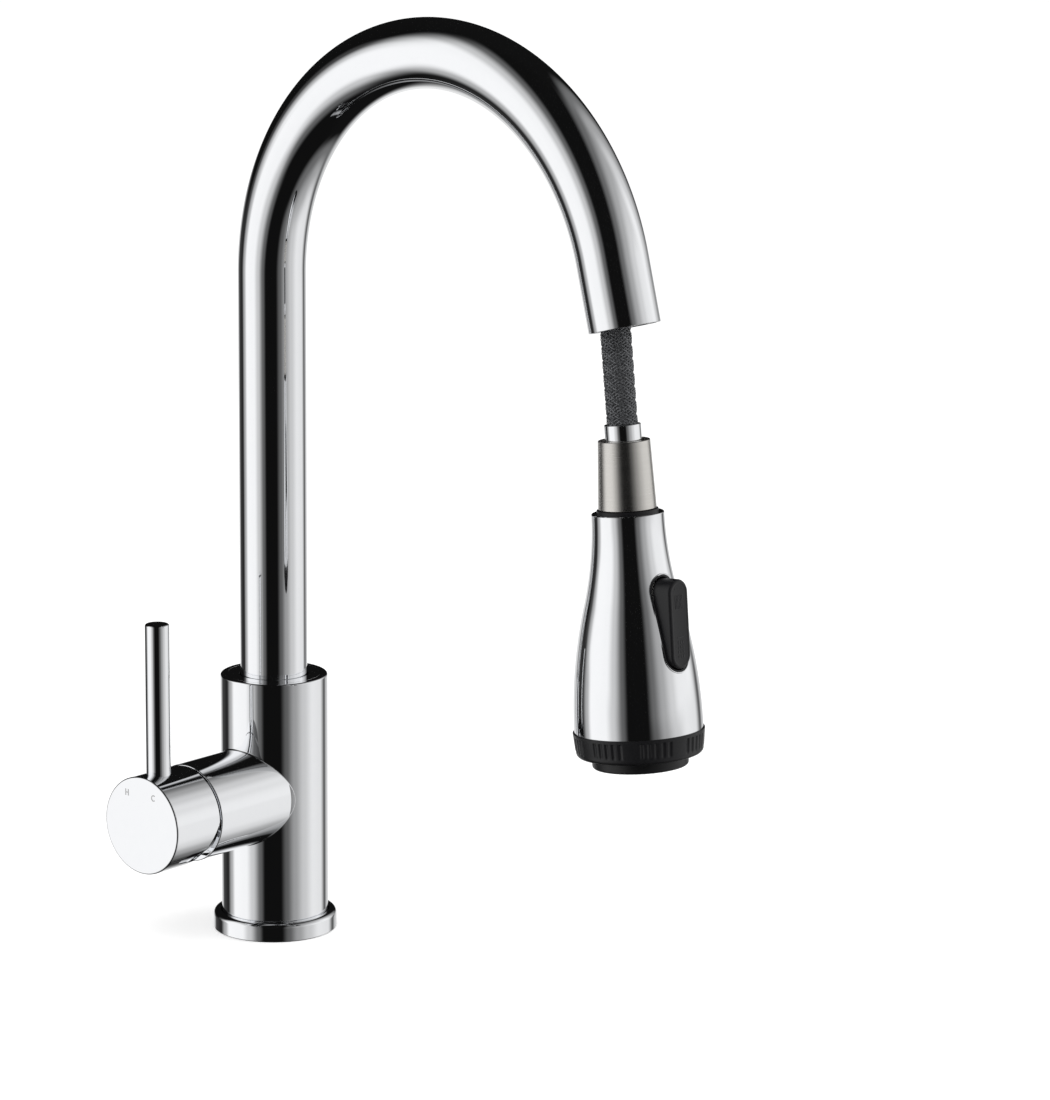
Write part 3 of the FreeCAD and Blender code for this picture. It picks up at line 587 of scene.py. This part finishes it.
def letter_h():
    """The H as blocks on the cap's face: two posts and the bar between them."""
    up, side = 12.95, 7.9
    strokes = [
        ((-1.35, -0.95), (1.35, -0.5)), ((-1.35, 0.5), (1.35, 0.95)), ((-0.22, -0.5), (0.22, 0.5)),
    ]
    return [
        block(VALVE, (up + low[0], side + low[1], MARK_FOOT), (up + high[0], side + high[1], MARK_TOP))
        for low, high in strokes
    ]


def letter_c():
    """Points and faces of a C on the cap's face, whose gap faces its right, which is local -Y."""
    up, side, stretch = 12.8, -6.9, 1.12
    inner, outer, gap = 0.78, 1.22, 96
    section = ((inner, MARK_FOOT), (inner, MARK_TOP), (outer, MARK_TOP), (outer, MARK_FOOT))
    rings = []
    count = 28
    for step in range(count + 1):
        angle = math.radians(-90 + gap / 2 + (360 - gap) * step / count)
        rings.append([
            point_on(VALVE, up + radius * stretch * math.cos(angle), side + radius * math.sin(angle), z)
            for radius, z in section
        ])
    verts = [spot for ring in rings for spot in ring]
    faces = [[0, 1, 2, 3], [4 * count + 3, 4 * count + 2, 4 * count + 1, 4 * count]]
    for step in range(count):
        for i in range(4):
            j = (i + 1) % 4
            faces.append([4 * step + i, 4 * step + 4 + i, 4 * step + 4 + j, 4 * step + j])
    return verts, faces


def build_handle():
    verts, faces, normals = turned_mesh(cap_runs, VALVE, 224)
    place(new_piece("handle_cap_shell", verts, faces, normals), "handle", "chrome", ["handle_cap"])
    upright = axes(point_on(VALVE, 0, 0, LEVER_PLACE), (0, 0, 1), (1, 0, 0))
    place(turned("lever", [
        (0, LEVER_FOOT), (LEVER_RADIUS, LEVER_FOOT), (LEVER_RADIUS, LEVER_TOP, 0.9), (0, LEVER_TOP),
    ], upright, 128), "handle", "chrome", ["lever_rod"])
    place(joined("hot_cold_marks", letter_h() + [letter_c()]), "handle", "steel")


# ---- spout ----------------------------------------------------------------------------------

TUBE_RADIUS = 14.0
TUBE_BORE = 13.0
LINER_RADIUS = 12.95
LINER_START = 0.4
LINER_END = 25.4
SPOUT_STEPS = 200


def build_spout():
    marks = [RISER + ARC * i / SPOUT_STEPS for i in range(SPOUT_STEPS + 1)]
    place(turned("spout_pipe", [
        (TUBE_BORE, 0), (TUBE_RADIUS, 0), (TUBE_RADIUS, SPOUT_LENGTH, 0.3),
        (TUBE_BORE, SPOUT_LENGTH, 0.3),
    ], UPRIGHT, 160, marks, along_spout), "spout", "chrome", ["spout_tube"])
    place(turned("dock_liner", [
        (12.15, LINER_START, 0.3), (LINER_RADIUS, LINER_START, 0.2), (LINER_RADIUS, LINER_END),
        (10.7, LINER_END, 0.5),
    ], MOUTH, 128), "spout", "inner_plastic", ["dock_bush"])


# ---- hose -----------------------------------------------------------------------------------

STRANDS = 16
BRAID_RADIUS = 5.84
BRAID_ANGLE = math.radians(60.0)
BRAID_STEP = 0.17
STRAND_LIFT = 0.20
STRAND_HALF = 0.42
STRAND_SECTION = ((-1, 0.34), (-0.6, 0.11), (0, 0.0), (0.6, 0.11), (1, 0.34))
WEAVE_SHARPNESS = 2.2
CORE_RADIUS = 5.45
CORE_BORE = 4.6
CORE_STEPS = 60
HOSE_REACH = HOSE_LENGTH + 1.6


def braid_parts():
    """Points and faces of each strand. A strand is a ribbon whose section sags at its sides, as
    (share of the half width, drop), and which goes over two others and under two."""
    twist = math.tan(BRAID_ANGLE) / BRAID_RADIUS
    count = int(HOSE_REACH / BRAID_STEP)
    spots = np.array([HOSE_REACH * i / count for i in range(count + 1)])
    frames = [along_hose(s) for s in spots]
    origins = np.array([f[0] for f in frames])
    ys = np.array([f[2] for f in frames])
    x = vec((1, 0, 0))
    wide = len(STRAND_SECTION)
    quads = [
        [wide * i + j, wide * i + j + 1, wide * (i + 1) + j + 1, wide * (i + 1) + j]
        for i in range(count) for j in range(wide - 1)
    ]
    parts = []
    for way in (1, -1):
        for strand in range(STRANDS):
            middle = 2 * math.pi * strand / STRANDS + way * twist * spots
            crossing = STRANDS * twist * spots / math.pi + strand
            weave = way * np.tanh(WEAVE_SHARPNESS * np.sin(math.pi * crossing / 2))
            rows = []
            for side, drop in STRAND_SECTION:
                angle = middle + side * STRAND_HALF / (BRAID_RADIUS * math.cos(BRAID_ANGLE))
                out = np.cos(angle)[:, None] * x + np.sin(angle)[:, None] * ys
                rows.append(origins + out * (BRAID_RADIUS + STRAND_LIFT * weave - drop)[:, None])
            parts.append((np.stack(rows, axis=1).reshape(-1, 3), quads))
    return parts


def build_hose():
    """A nylon braid round a dark core, laid along the hose's bend from inside the spout down to the ferrule."""
    braid = joined("hose_sleeve", braid_parts())
    marks = [HOSE_REACH * i / CORE_STEPS for i in range(CORE_STEPS + 1)]
    core = turned("hose_core", [
        (CORE_BORE, 0), (CORE_RADIUS, 0), (CORE_RADIUS, HOSE_REACH), (CORE_BORE, HOSE_REACH),
    ], UPRIGHT, 48, marks, along_hose)
    for piece in (finished(braid, "hose_braid", ["hose_exposed"]), finished(core, "rubber")):
        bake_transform(piece)


# ---- spray head -----------------------------------------------------------------------------

CONE_FOOT = 11.0
CONE_BORE = 9.0
NECK_TOP = 12.5
SKIRT = 97.0
BELL_TOP = (14.05, NECK_TOP)
BELL_WAIST = (18.66, 48.0)
BELL_FOOT = (25.0, SKIRT)
BELL_WALL = 2.0
NECK_FLOOR = NECK_TOP + BELL_WALL
SLOT_MIDDLE = 54.2
SLOT_LENGTH = 37.5
SLOT_WIDTH = 13.5
ON_FACE = 0.03


def bell_side():
    """The bell's outer curve as (point, normal) pairs: hollow above the waist, crowned below."""
    upper = arc_run(BELL_TOP, BELL_WAIST, -139.0, 60)
    lower = arc_run(BELL_WAIST, BELL_FOOT, 192.0, 80)
    return upper + lower[1:]


def bell_table():
    """The outer curve's distances, radii, and the outward and lengthwise parts of its normals."""
    side = bell_side()
    return ([p[0][1] for p in side], [p[0][0] for p in side],
            [p[1][0] for p in side], [p[1][1] for p in side])


def stadium(length, width, count=40):
    """Points and outward normals round a slot shape that stands along s, as (x, s)."""
    radius = width / 2
    straight_half = (length - width) / 2
    spots = []
    for end, middle in ((0, straight_half), (1, -straight_half)):
        for step in range(count + 1):
            angle = math.pi * (step / count + end)
            way = vec((math.cos(angle), math.sin(angle)))
            spots.append((way * radius + vec((0, middle)), way))
    return spots


def bell_runs():
    """The bell's outline: a rounded neck, the outer curve, and an inner face one wall inside."""
    side = bell_side()
    neck = vec((CONE_BORE, NECK_TOP))
    edge = rounded(neck, BELL_TOP, side[6][0], 0.5)
    spots = edge + [pair for pair in side if pair[0][1] > edge[-1][0][1] + 0.05]
    runs = [(a[0], b[0], a[1], b[1]) for a, b in zip(spots, spots[1:])]
    wall = vec((BELL_WALL, 0))
    inner = [pair[0] - wall for pair in reversed(side) if NECK_FLOOR + 0.5 < pair[0][1] < SKIRT - 1.0]
    rest = [spots[-1][0], vec(BELL_FOOT) - wall, *inner, vec((12.3, NECK_FLOOR)),
            vec((CONE_BORE, NECK_FLOOR)), neck, spots[0][0]]
    return runs + [straight_run(a, b) for a, b in zip(rest, rest[1:])]


def slot_cutter():
    """A closed prism with the slot's outline, from inside the bell to outside it."""
    inside, outside = 6.0, 34.0
    verts = []
    ring = stadium(SLOT_LENGTH, SLOT_WIDTH)
    for y in (inside, outside):
        verts += [point_on(HEAD, spot[0], y, spot[1] + SLOT_MIDDLE) for spot, _ in ring]
    n = len(ring)
    faces = [list(range(n)), [2 * n - 1 - i for i in range(n)]]
    faces += [[i, n + i, n + (i + 1) % n, (i + 1) % n] for i in range(n)]
    cutter = new_piece("slot_cutter", verts, faces)
    work = bmesh.new()
    work.from_mesh(cutter.data)
    bmesh.ops.recalc_face_normals(work, faces=work.faces)
    work.to_mesh(cutter.data)
    work.free()
    return cutter


def cut_slot(piece):
    """Cut the rocker's slot through the bell."""
    cutter = slot_cutter()
    cut = piece.modifiers.new("slot", "BOOLEAN")
    cut.object = cutter
    cut.solver = "EXACT"
    bpy.context.view_layer.update()
    evaluated = piece.evaluated_get(bpy.context.evaluated_depsgraph_get())
    done = bpy.data.meshes.new_from_object(evaluated)
    piece.modifiers.clear()
    piece.data = done
    bpy.data.objects.remove(cutter)


def smooth_bell(mesh):
    """Give the corners on the cut bell's outer face their exact normals, and the others their
    own face's."""
    mesh.shade_smooth()
    levels, radii, outs, ups = bell_table()
    corners = np.zeros(len(mesh.loops), int)
    mesh.loops.foreach_get("vertex_index", corners)
    sizes = np.array([len(polygon.vertices) for polygon in mesh.polygons])
    own = np.repeat(np.array([polygon.normal for polygon in mesh.polygons]), sizes, axis=0)
    local = np.array([vertex.co for vertex in mesh.vertices])[corners] / MM - HEAD[0]
    along = local @ HEAD[3]
    flat = local - along[:, None] * HEAD[3]
    radius = np.linalg.norm(flat, axis=1)
    out = flat / radius[:, None]
    exact = out * np.interp(along, levels, outs)[:, None]
    exact = exact + HEAD[3] * np.interp(along, levels, ups)[:, None]
    outer = np.abs(radius - np.interp(along, levels, radii)) < ON_FACE
    outer &= (along > NECK_TOP + 0.7) & (np.sum(own * out, axis=1) > 0.5)
    mesh.normals_split_custom_set(np.where(outer[:, None], exact, own).tolist())


def slot_rim(name):
    """The bright rounded edge of the slot: a fine bead that follows the bell's face."""
    thick = 0.34
    sunk = 0.3
    around = 10
    ring = stadium(SLOT_LENGTH + 0.1, SLOT_WIDTH + 0.1, 48)
    levels, radii = bell_table()[:2]
    verts = []
    for spot, way in ring:
        s = spot[1] + SLOT_MIDDLE
        radius = float(np.interp(s, levels, radii))
        y = math.sqrt(radius * radius - spot[0] * spot[0])
        surface = unit(vec((spot[0], y, 0)))
        centre = vec((spot[0], y, s)) - surface * (thick * sunk)
        outward = vec((way[0], 0, way[1]))
        for j in range(around):
            angle = 2 * math.pi * j / around
            bead = centre + surface * (thick * math.sin(angle)) + outward * (thick * math.cos(angle))
            verts.append(point_on(HEAD, *bead))
    count = len(ring)
    faces = []
    for i in range(count):
        k = (i + 1) % count
        for j in range(around):
            m = (j + 1) % around
            faces.append([i * around + j, k * around + j, k * around + m, i * around + m])
    return new_piece(name, verts, faces)


ROCKER_LENGTH = 34.6
ROCKER_WIDTH = 10.8
ROCKER_BACK = 16.2
ROCKER_FACE = 24.5
ROCKER_EDGE = 1.15
ROCKER_DISH = 0.16


def rocker_mesh():
    """The rocker: a slot-shaped button with rolled edges and a slightly dished face."""
    edge = ROCKER_EDGE
    rows = [(ROCKER_BACK, 0.0)]
    for step in range(9):
        angle = math.pi / 2 * step / 8
        rows.append((ROCKER_FACE - edge + edge * math.sin(angle), edge * (1 - math.cos(angle))))
    rows += [
        (ROCKER_FACE, edge + 0.1), (ROCKER_FACE - 0.14, edge + 0.42),
        (ROCKER_FACE - ROCKER_DISH, edge + 0.6),
    ]
    verts = []
    for y, inset in rows:
        for spot, way in stadium(ROCKER_LENGTH, ROCKER_WIDTH, 28):
            spot = spot - way * inset
            verts.append(point_on(HEAD, spot[0], y, spot[1] + SLOT_MIDDLE))
    n = len(verts) // len(rows)
    faces = [list(range(n))]
    for row in range(len(rows) - 1):
        for i in range(n):
            k = (i + 1) % n
            faces.append([row * n + i, (row + 1) * n + i, (row + 1) * n + k, row * n + k])
    faces.append([(len(rows) - 1) * n + i for i in reversed(range(n))])
    return verts, faces


def rocker_icons():
    """Generic marks: a shower of bars at one end, a stream of dashes at the other."""
    face = (HEAD[0], HEAD[1], -HEAD[3], HEAD[2])
    level = ROCKER_FACE - ROCKER_DISH - 0.01
    tallness = 0.16
    edge = 0.05
    parts = []

    def bar(x, s, wide, tall):
        low = (x - wide / 2, -(s + tall / 2), level)
        high = (x + wide / 2, -(s - tall / 2), level + tallness)
        parts.append(block(face, low, high, edge))

    for x in (-1.9, -1.15, -0.4, 0.4, 1.15, 1.9):
        bar(x, 45.6, 0.36, 5.2)
    for x in (-1.9, 1.9):
        bar(x, 40.4, 0.5, 0.5)
    bar(0, 59.2, 3.4, 0.35)
    for x in (-1.3, 0.0, 1.3):
        for s in (61.2, 63.0, 64.8, 66.6):
            bar(x, s, 0.42, 1.1)
    return parts


GROUP_START = 32.0
GROUP_STEP = 45.0
GROUP_HALF = 16.0
GROOVE_STEP = 6.4
GROOVE_HALF = 0.3
GROOVE_DEPTH = 0.5
GRIP_BORE = 18.95
GRIP_FOOT = 106.8


def grip_runs(angle):
    """The grip ring's outline at an angle; groups of grooves are cut into its side. Their places
    are in degrees, and a groove's half width is a share of the step."""
    local = (math.degrees(angle) - GROUP_START + GROUP_STEP / 2) % GROUP_STEP - GROUP_STEP / 2
    depth = 0.0
    if abs(local) < GROUP_HALF:
        phase = (local / GROOVE_STEP + 0.5) % 1.0 - 0.5
        depth = GROOVE_DEPTH * max(0.0, 1.0 - (abs(phase) / GROOVE_HALF) ** 2)
    return outline([
        (GRIP_BORE, SKIRT), (25.6, SKIRT, 0.3), (25.5, 98.3), (25.45 - depth, 98.6),
        (24.95 - depth, 103.6), (24.7, 104.4), (24.7, GRIP_FOOT, 2.0), (GRIP_BORE, GRIP_FOOT, 0.4),
    ])


FERRULE_RADIUS = 7.08
FERRULE_FOOT = -6.5
FERRULE_FLOOR = FERRULE_TOP + 2.4
CONE_TOP = -15.5
CONE_SHOULDER = -12.8
# Painted shade: a black ring sits in the gap between the cone's foot and the bell's top, and stands in for the
# shade in that gap.
GAP_SHADE_RADIUS = 11.9
GAP_SHADE_TOP = CONE_FOOT + 0.15
NOZZLE_TOP = 102.0
NOZZLE_FACE = 111.4
PLATE_TOP = 109.8
NUB_FOOT = 111.0
NUB_RINGS = ((11.2, 18), (13.5, 24), (15.8, 30))


def build_neck():
    place(turned("hose_collar", [
        (6.1, FERRULE_FLOOR), (6.1, FERRULE_TOP), (FERRULE_RADIUS, FERRULE_TOP, 0.3),
        (FERRULE_RADIUS, FERRULE_FOOT, 0.3), (3.5, FERRULE_FOOT), (3.5, FERRULE_FLOOR),
    ], HOSE, 128), "hose_end", "chrome", ["hose_ferrule"])
    place(turned("cone", [
        (8.0, CONE_TOP, 0.25), (10.05, CONE_TOP, 0.4), (11.25, CONE_FOOT, 0.3),
        (CONE_BORE, CONE_FOOT), (CONE_BORE, CONE_SHOULDER), (8.0, CONE_SHOULDER),
    ], HEAD, 160), "spray_head", "brushed_nickel", ["cone_sleeve"])
    # Painted shade: this black ring stands in for the shade in the gap between the cone and the bell.
    place(turned("neck_gap_shade", [
        (9.3, GAP_SHADE_TOP), (GAP_SHADE_RADIUS, GAP_SHADE_TOP, 0.3), (GAP_SHADE_RADIUS, NECK_TOP), (9.3, NECK_TOP),
    ], HEAD, 128), "spray_head", "black_plastic")


def build_bell():
    bell = new_piece("bell", *turned_mesh(bell_runs(), HEAD, 224))
    cut_slot(bell)
    smooth_bell(bell.data)
    place(bell, "spray_head", "chrome", ["bell_shell"])
    place(slot_rim("slot_rim"), "spray_head", "chrome")
    place(new_piece("rocker", *rocker_mesh()), "rocker", "black_plastic", ["rocker_button"])
    place(joined("rocker_marks", rocker_icons()), "rocker", "rubber")
    grip = new_piece("grip", *turned_mesh(grip_runs, HEAD, 720)[:2])
    place(grip, "spray_head", "black_plastic", ["serrated_ring"])


def aerator_mesh():
    """The aerator's tube with a square mesh of thin bars across it."""
    tube = outline([(6.6, 103), (8.0, 103), (8.0, 110.4, 0.2), (6.6, 110.4, 0.2)])
    parts = [turned_mesh(tube, HEAD, 96)[:2]]
    span = 6.8
    half = 0.2
    edge = 0.1
    for i in range(-4, 5):
        offset = 1.45 * i
        reach = math.sqrt(span * span - offset * offset)
        low, high = offset - half, offset + half
        parts.append(block(HEAD, (low, -reach, 108.4), (high, reach, 109.4), edge))
        parts.append(block(HEAD, (-reach, low, 108.2), (reach, high, 109.2), edge))
    return parts


def build_nozzle():
    place(turned("nozzle", [
        (8.05, NOZZLE_TOP), (18.7, NOZZLE_TOP), (18.7, NOZZLE_FACE, 1.1), (17.4, NOZZLE_FACE, 0.2),
        (17.4, PLATE_TOP), (9.6, PLATE_TOP), (9.6, NOZZLE_FACE, 0.2), (8.05, NOZZLE_FACE, 0.2),
    ], HEAD, 160), "spray_head", "black_plastic", ["nozzle_face"])
    plate = outline([(9.65, PLATE_TOP), (17.35, PLATE_TOP), (17.35, 111.1, 0.2), (9.65, 111.1, 0.2)])
    nub = outline([(0.28, 0.0), (0.72, 0.0), (0.5, 0.75, 0.12), (0.28, 0.75)])
    parts = [turned_mesh(plate, HEAD, 96)[:2]]
    for radius, count in NUB_RINGS:
        for i in range(count):
            angle = 2 * math.pi * i / count
            spot = point_on(HEAD, radius * math.cos(angle), radius * math.sin(angle), NUB_FOOT)
            parts.append(turned_mesh(nub, (spot, *HEAD[1:]), 12)[:2])
    place(joined("spray_nubs", parts), "spray_head", "grey_silicone", ["spray_plate"])
    place(joined("aerator", aerator_mesh()), "spray_head", "grey_silicone", ["aerator_insert"])


# ---- studio ---------------------------------------------------------------------------------

FRONT = (-0.719, -0.695)
RIGHT = (0.695, -0.719)
PLAIN_DOME = (0.72, 0.72, 0.72, 1.0)
WHITE = (1.0, 1.0, 1.0, 1.0)


def build_world():
    """White for the camera. Metal sees soft panels: white at the left, a long ramp at the right,
    and a dark band between them from the front over the top to the back. Other surfaces see a
    plain dome. The directions are fixed in the room."""
    world = bpy.data.worlds.new("studio")
    bpy.context.scene.world = world
    world.use_nodes = True
    tree = world.node_tree
    tree.nodes.clear()
    where = tree.nodes.new("ShaderNodeTexCoord")
    split = tree.nodes.new("ShaderNodeSeparateXYZ")
    tree.links.new(where.outputs["Generated"], split.inputs[0])

    def math_node(kind, a, b=None, c=None):
        node = tree.nodes.new("ShaderNodeMath")
        node.operation = kind
        for i, value in enumerate((a, b, c)):
            if value is None:
                continue
            if isinstance(value, (int, float)):
                node.inputs[i].default_value = value
            else:
                tree.links.new(value, node.inputs[i])
        return node.outputs[0]

    x, y, z = split.outputs
    front = math_node("MULTIPLY_ADD", x, FRONT[0], math_node("MULTIPLY", y, FRONT[1]))
    right = math_node("MULTIPLY_ADD", x, RIGHT[0], math_node("MULTIPLY", y, RIGHT[1]))
    bearing = math_node("ARCTAN2", right, front)
    turn = math_node("MULTIPLY_ADD", bearing, 1 / (2 * math.pi), 0.5)

    def ramp(stops, value):
        node = tree.nodes.new("ShaderNodeValToRGB")
        node.color_ramp.interpolation = "EASE"
        elements = node.color_ramp.elements
        while len(elements) > 1:
            elements.remove(elements[0])
        elements[0].position = stops[0][0]
        elements[0].color = (stops[0][1],) * 3 + (1,)
        for position, level in stops[1:]:
            elements.new(position).color = (level,) * 3 + (1,)
        tree.links.new(value, node.inputs[0])
        return node.outputs["Color"]

    def at_bearings(pairs):
        return [((angle + 180) / 360, level) for angle, level in pairs]

    def across(pairs):
        return [((side + 1) / 2, level) for side, level in pairs]

    side_ways = math_node("MULTIPLY_ADD", right, 0.5, 0.5)
    ahead = ramp(across([
        (-1.0, 1.0), (-0.86, 0.97), (-0.70, 0.60), (-0.47, 0.12), (-0.30, 0.005), (0.27, 0.005),
        (0.48, 0.14), (0.74, 0.40), (0.92, 0.66), (1.0, 0.88),
    ]), side_ways)
    behind = ramp(across([
        (-1.0, 1.0), (-0.96, 0.45), (-0.88, 0.06), (-0.78, 0.005), (0.34, 0.006), (0.48, 0.17),
        (0.62, 0.38), (0.78, 0.66), (0.90, 0.92), (1.0, 0.92),
    ]), side_ways)
    below = ramp(at_bearings([
        (-180, 0.85), (-158, 0.75), (-140, 0.05), (-118, 0.02), (-104, 0.45), (-92, 1.0), (-62, 0.97),
        (-46, 0.62), (-28, 0.12), (-18, 0.005), (16, 0.005), (30, 0.11), (48, 0.34), (70, 0.60),
        (95, 0.84), (120, 0.80), (140, 0.10), (156, 0.6), (180, 0.85),
    ]), turn)

    def blend(factor, a, b):
        node = tree.nodes.new("ShaderNodeMix")
        node.data_type = "RGBA"
        for socket, value in (("Factor", factor), ("A", a), ("B", b)):
            if isinstance(value, tuple):
                node.inputs[socket].default_value = value
            else:
                tree.links.new(value, node.inputs[socket])
        return node.outputs["Result"]

    def rise(value, low, high):
        node = tree.nodes.new("ShaderNodeMapRange")
        node.interpolation_type = "SMOOTHSTEP"
        node.inputs["From Min"].default_value = low
        node.inputs["From Max"].default_value = high
        tree.links.new(value, node.inputs["Value"])
        return node.outputs["Result"]

    dome = blend(rise(front, -0.36, 0.02), behind, ahead)
    sky = blend(rise(z, -0.12, 0.0), below, dome)
    sky = blend(rise(z, -0.72, -0.42), dome, sky)
    rays = tree.nodes.new("ShaderNodeLightPath")
    seen = blend(rays.outputs["Is Glossy Ray"], PLAIN_DOME, sky)
    seen = blend(rays.outputs["Is Camera Ray"], seen, WHITE)
    out = tree.nodes.new("ShaderNodeOutputWorld")
    light = tree.nodes.new("ShaderNodeBackground")
    tree.links.new(seen, light.inputs["Color"])
    tree.links.new(light.outputs[0], out.inputs[0])


FLOOR_HALF = 4
FLOOR_TONE = (0.85, 0.85, 0.85, 1)
FLOOR_LIFT = 0.42


def build_floor():
    """A plain pale floor, lifted a little towards white for the camera, that keeps the shadow."""
    half = FLOOR_HALF
    mesh = bpy.data.meshes.new("floor")
    mesh.from_pydata(
        [(-half, -half, 0), (half, -half, 0), (half, half, 0), (-half, half, 0)], [], [[0, 1, 2, 3]])
    floor = bpy.data.objects.new("floor", mesh)
    bpy.context.scene.collection.objects.link(floor)
    mat = bpy.data.materials.new("floor")
    mat.use_nodes = True
    tree = mat.node_tree
    shader = tree.nodes["Principled BSDF"]
    shader.inputs["Base Color"].default_value = FLOOR_TONE
    shader.inputs["Roughness"].default_value = 0.9
    shader.inputs["Specular IOR Level"].default_value = 0.0
    shader.inputs["Emission Color"].default_value = WHITE
    rays = tree.nodes.new("ShaderNodeLightPath")
    lift = tree.nodes.new("ShaderNodeMath")
    lift.operation = "MULTIPLY"
    lift.inputs[1].default_value = FLOOR_LIFT
    tree.links.new(rays.outputs["Is Camera Ray"], lift.inputs[0])
    tree.links.new(lift.outputs[0], shader.inputs["Emission Strength"])
    mesh.materials.append(mat)
    floor.visible_glossy = False


LAMP_AIM = Vector((0, -0.1, 0.2))
LAMP_SIZE = 1.2


def area_light(name, place_at, power):
    """A square lamp that points at the object, and that metal doesn't show."""
    lamp = bpy.data.lights.new(name, "AREA")
    lamp.shape = "RECTANGLE"
    lamp.size = lamp.size_y = LAMP_SIZE
    lamp.energy = power
    holder = bpy.data.objects.new(name, lamp)
    holder.location = place_at
    holder.rotation_euler = (LAMP_AIM - Vector(place_at)).to_track_quat("-Z", "Y").to_euler()
    holder.visible_glossy = False
    holder.visible_camera = False
    bpy.context.scene.collection.objects.link(holder)


CAMERA_AT = (-1.2084, -1.3126, 0.5390)
CAMERA_LOOK = (0.7038, 0.6797, -0.2065)
CAMERA_ROLL = math.radians(0.40)


def build_camera():
    """The photograph's camera, as fitted to the outlines in it."""
    lens = bpy.data.cameras.new("camera")
    lens.lens = 143.2
    lens.sensor_width = 36.0
    lens.clip_end = 100.0
    camera = bpy.data.objects.new("camera", lens)
    look = Vector(CAMERA_LOOK).normalized()
    side = look.cross(Vector((0, 0, 1))).normalized()
    up = side.cross(look)
    right = side * math.cos(CAMERA_ROLL) + up * math.sin(CAMERA_ROLL)
    top = right.cross(look)
    turn = Matrix((right, top, -look)).transposed().to_4x4()
    turn.translation = Vector(CAMERA_AT)
    camera.matrix_world = turn
    bpy.context.scene.collection.objects.link(camera)
    bpy.context.scene.camera = camera


def build_stage():
    build_world()
    build_floor()
    area_light("key", (-1.6, -1.2, 1.9), 26)
    area_light("fill", (1.4, -1.6, 1.3), 9)
    build_camera()


# ---- all ------------------------------------------------------------------------------------

def dress_nodes():
    """Every CAD node takes the finish of its slot."""
    for entry in frame["record"]["subparts"]:
        node = frame["nodes"][entry["node"]]
        node.data.materials.clear()
        node.data.materials.append(finishes[entry["material_slot"]])


dress_nodes()
build_body()
build_shank()
build_handle()
build_spout()
build_hose()
build_neck()
build_bell()
build_nozzle()
build_stage()
bpy.context.scene.view_settings.view_transform = "Standard"
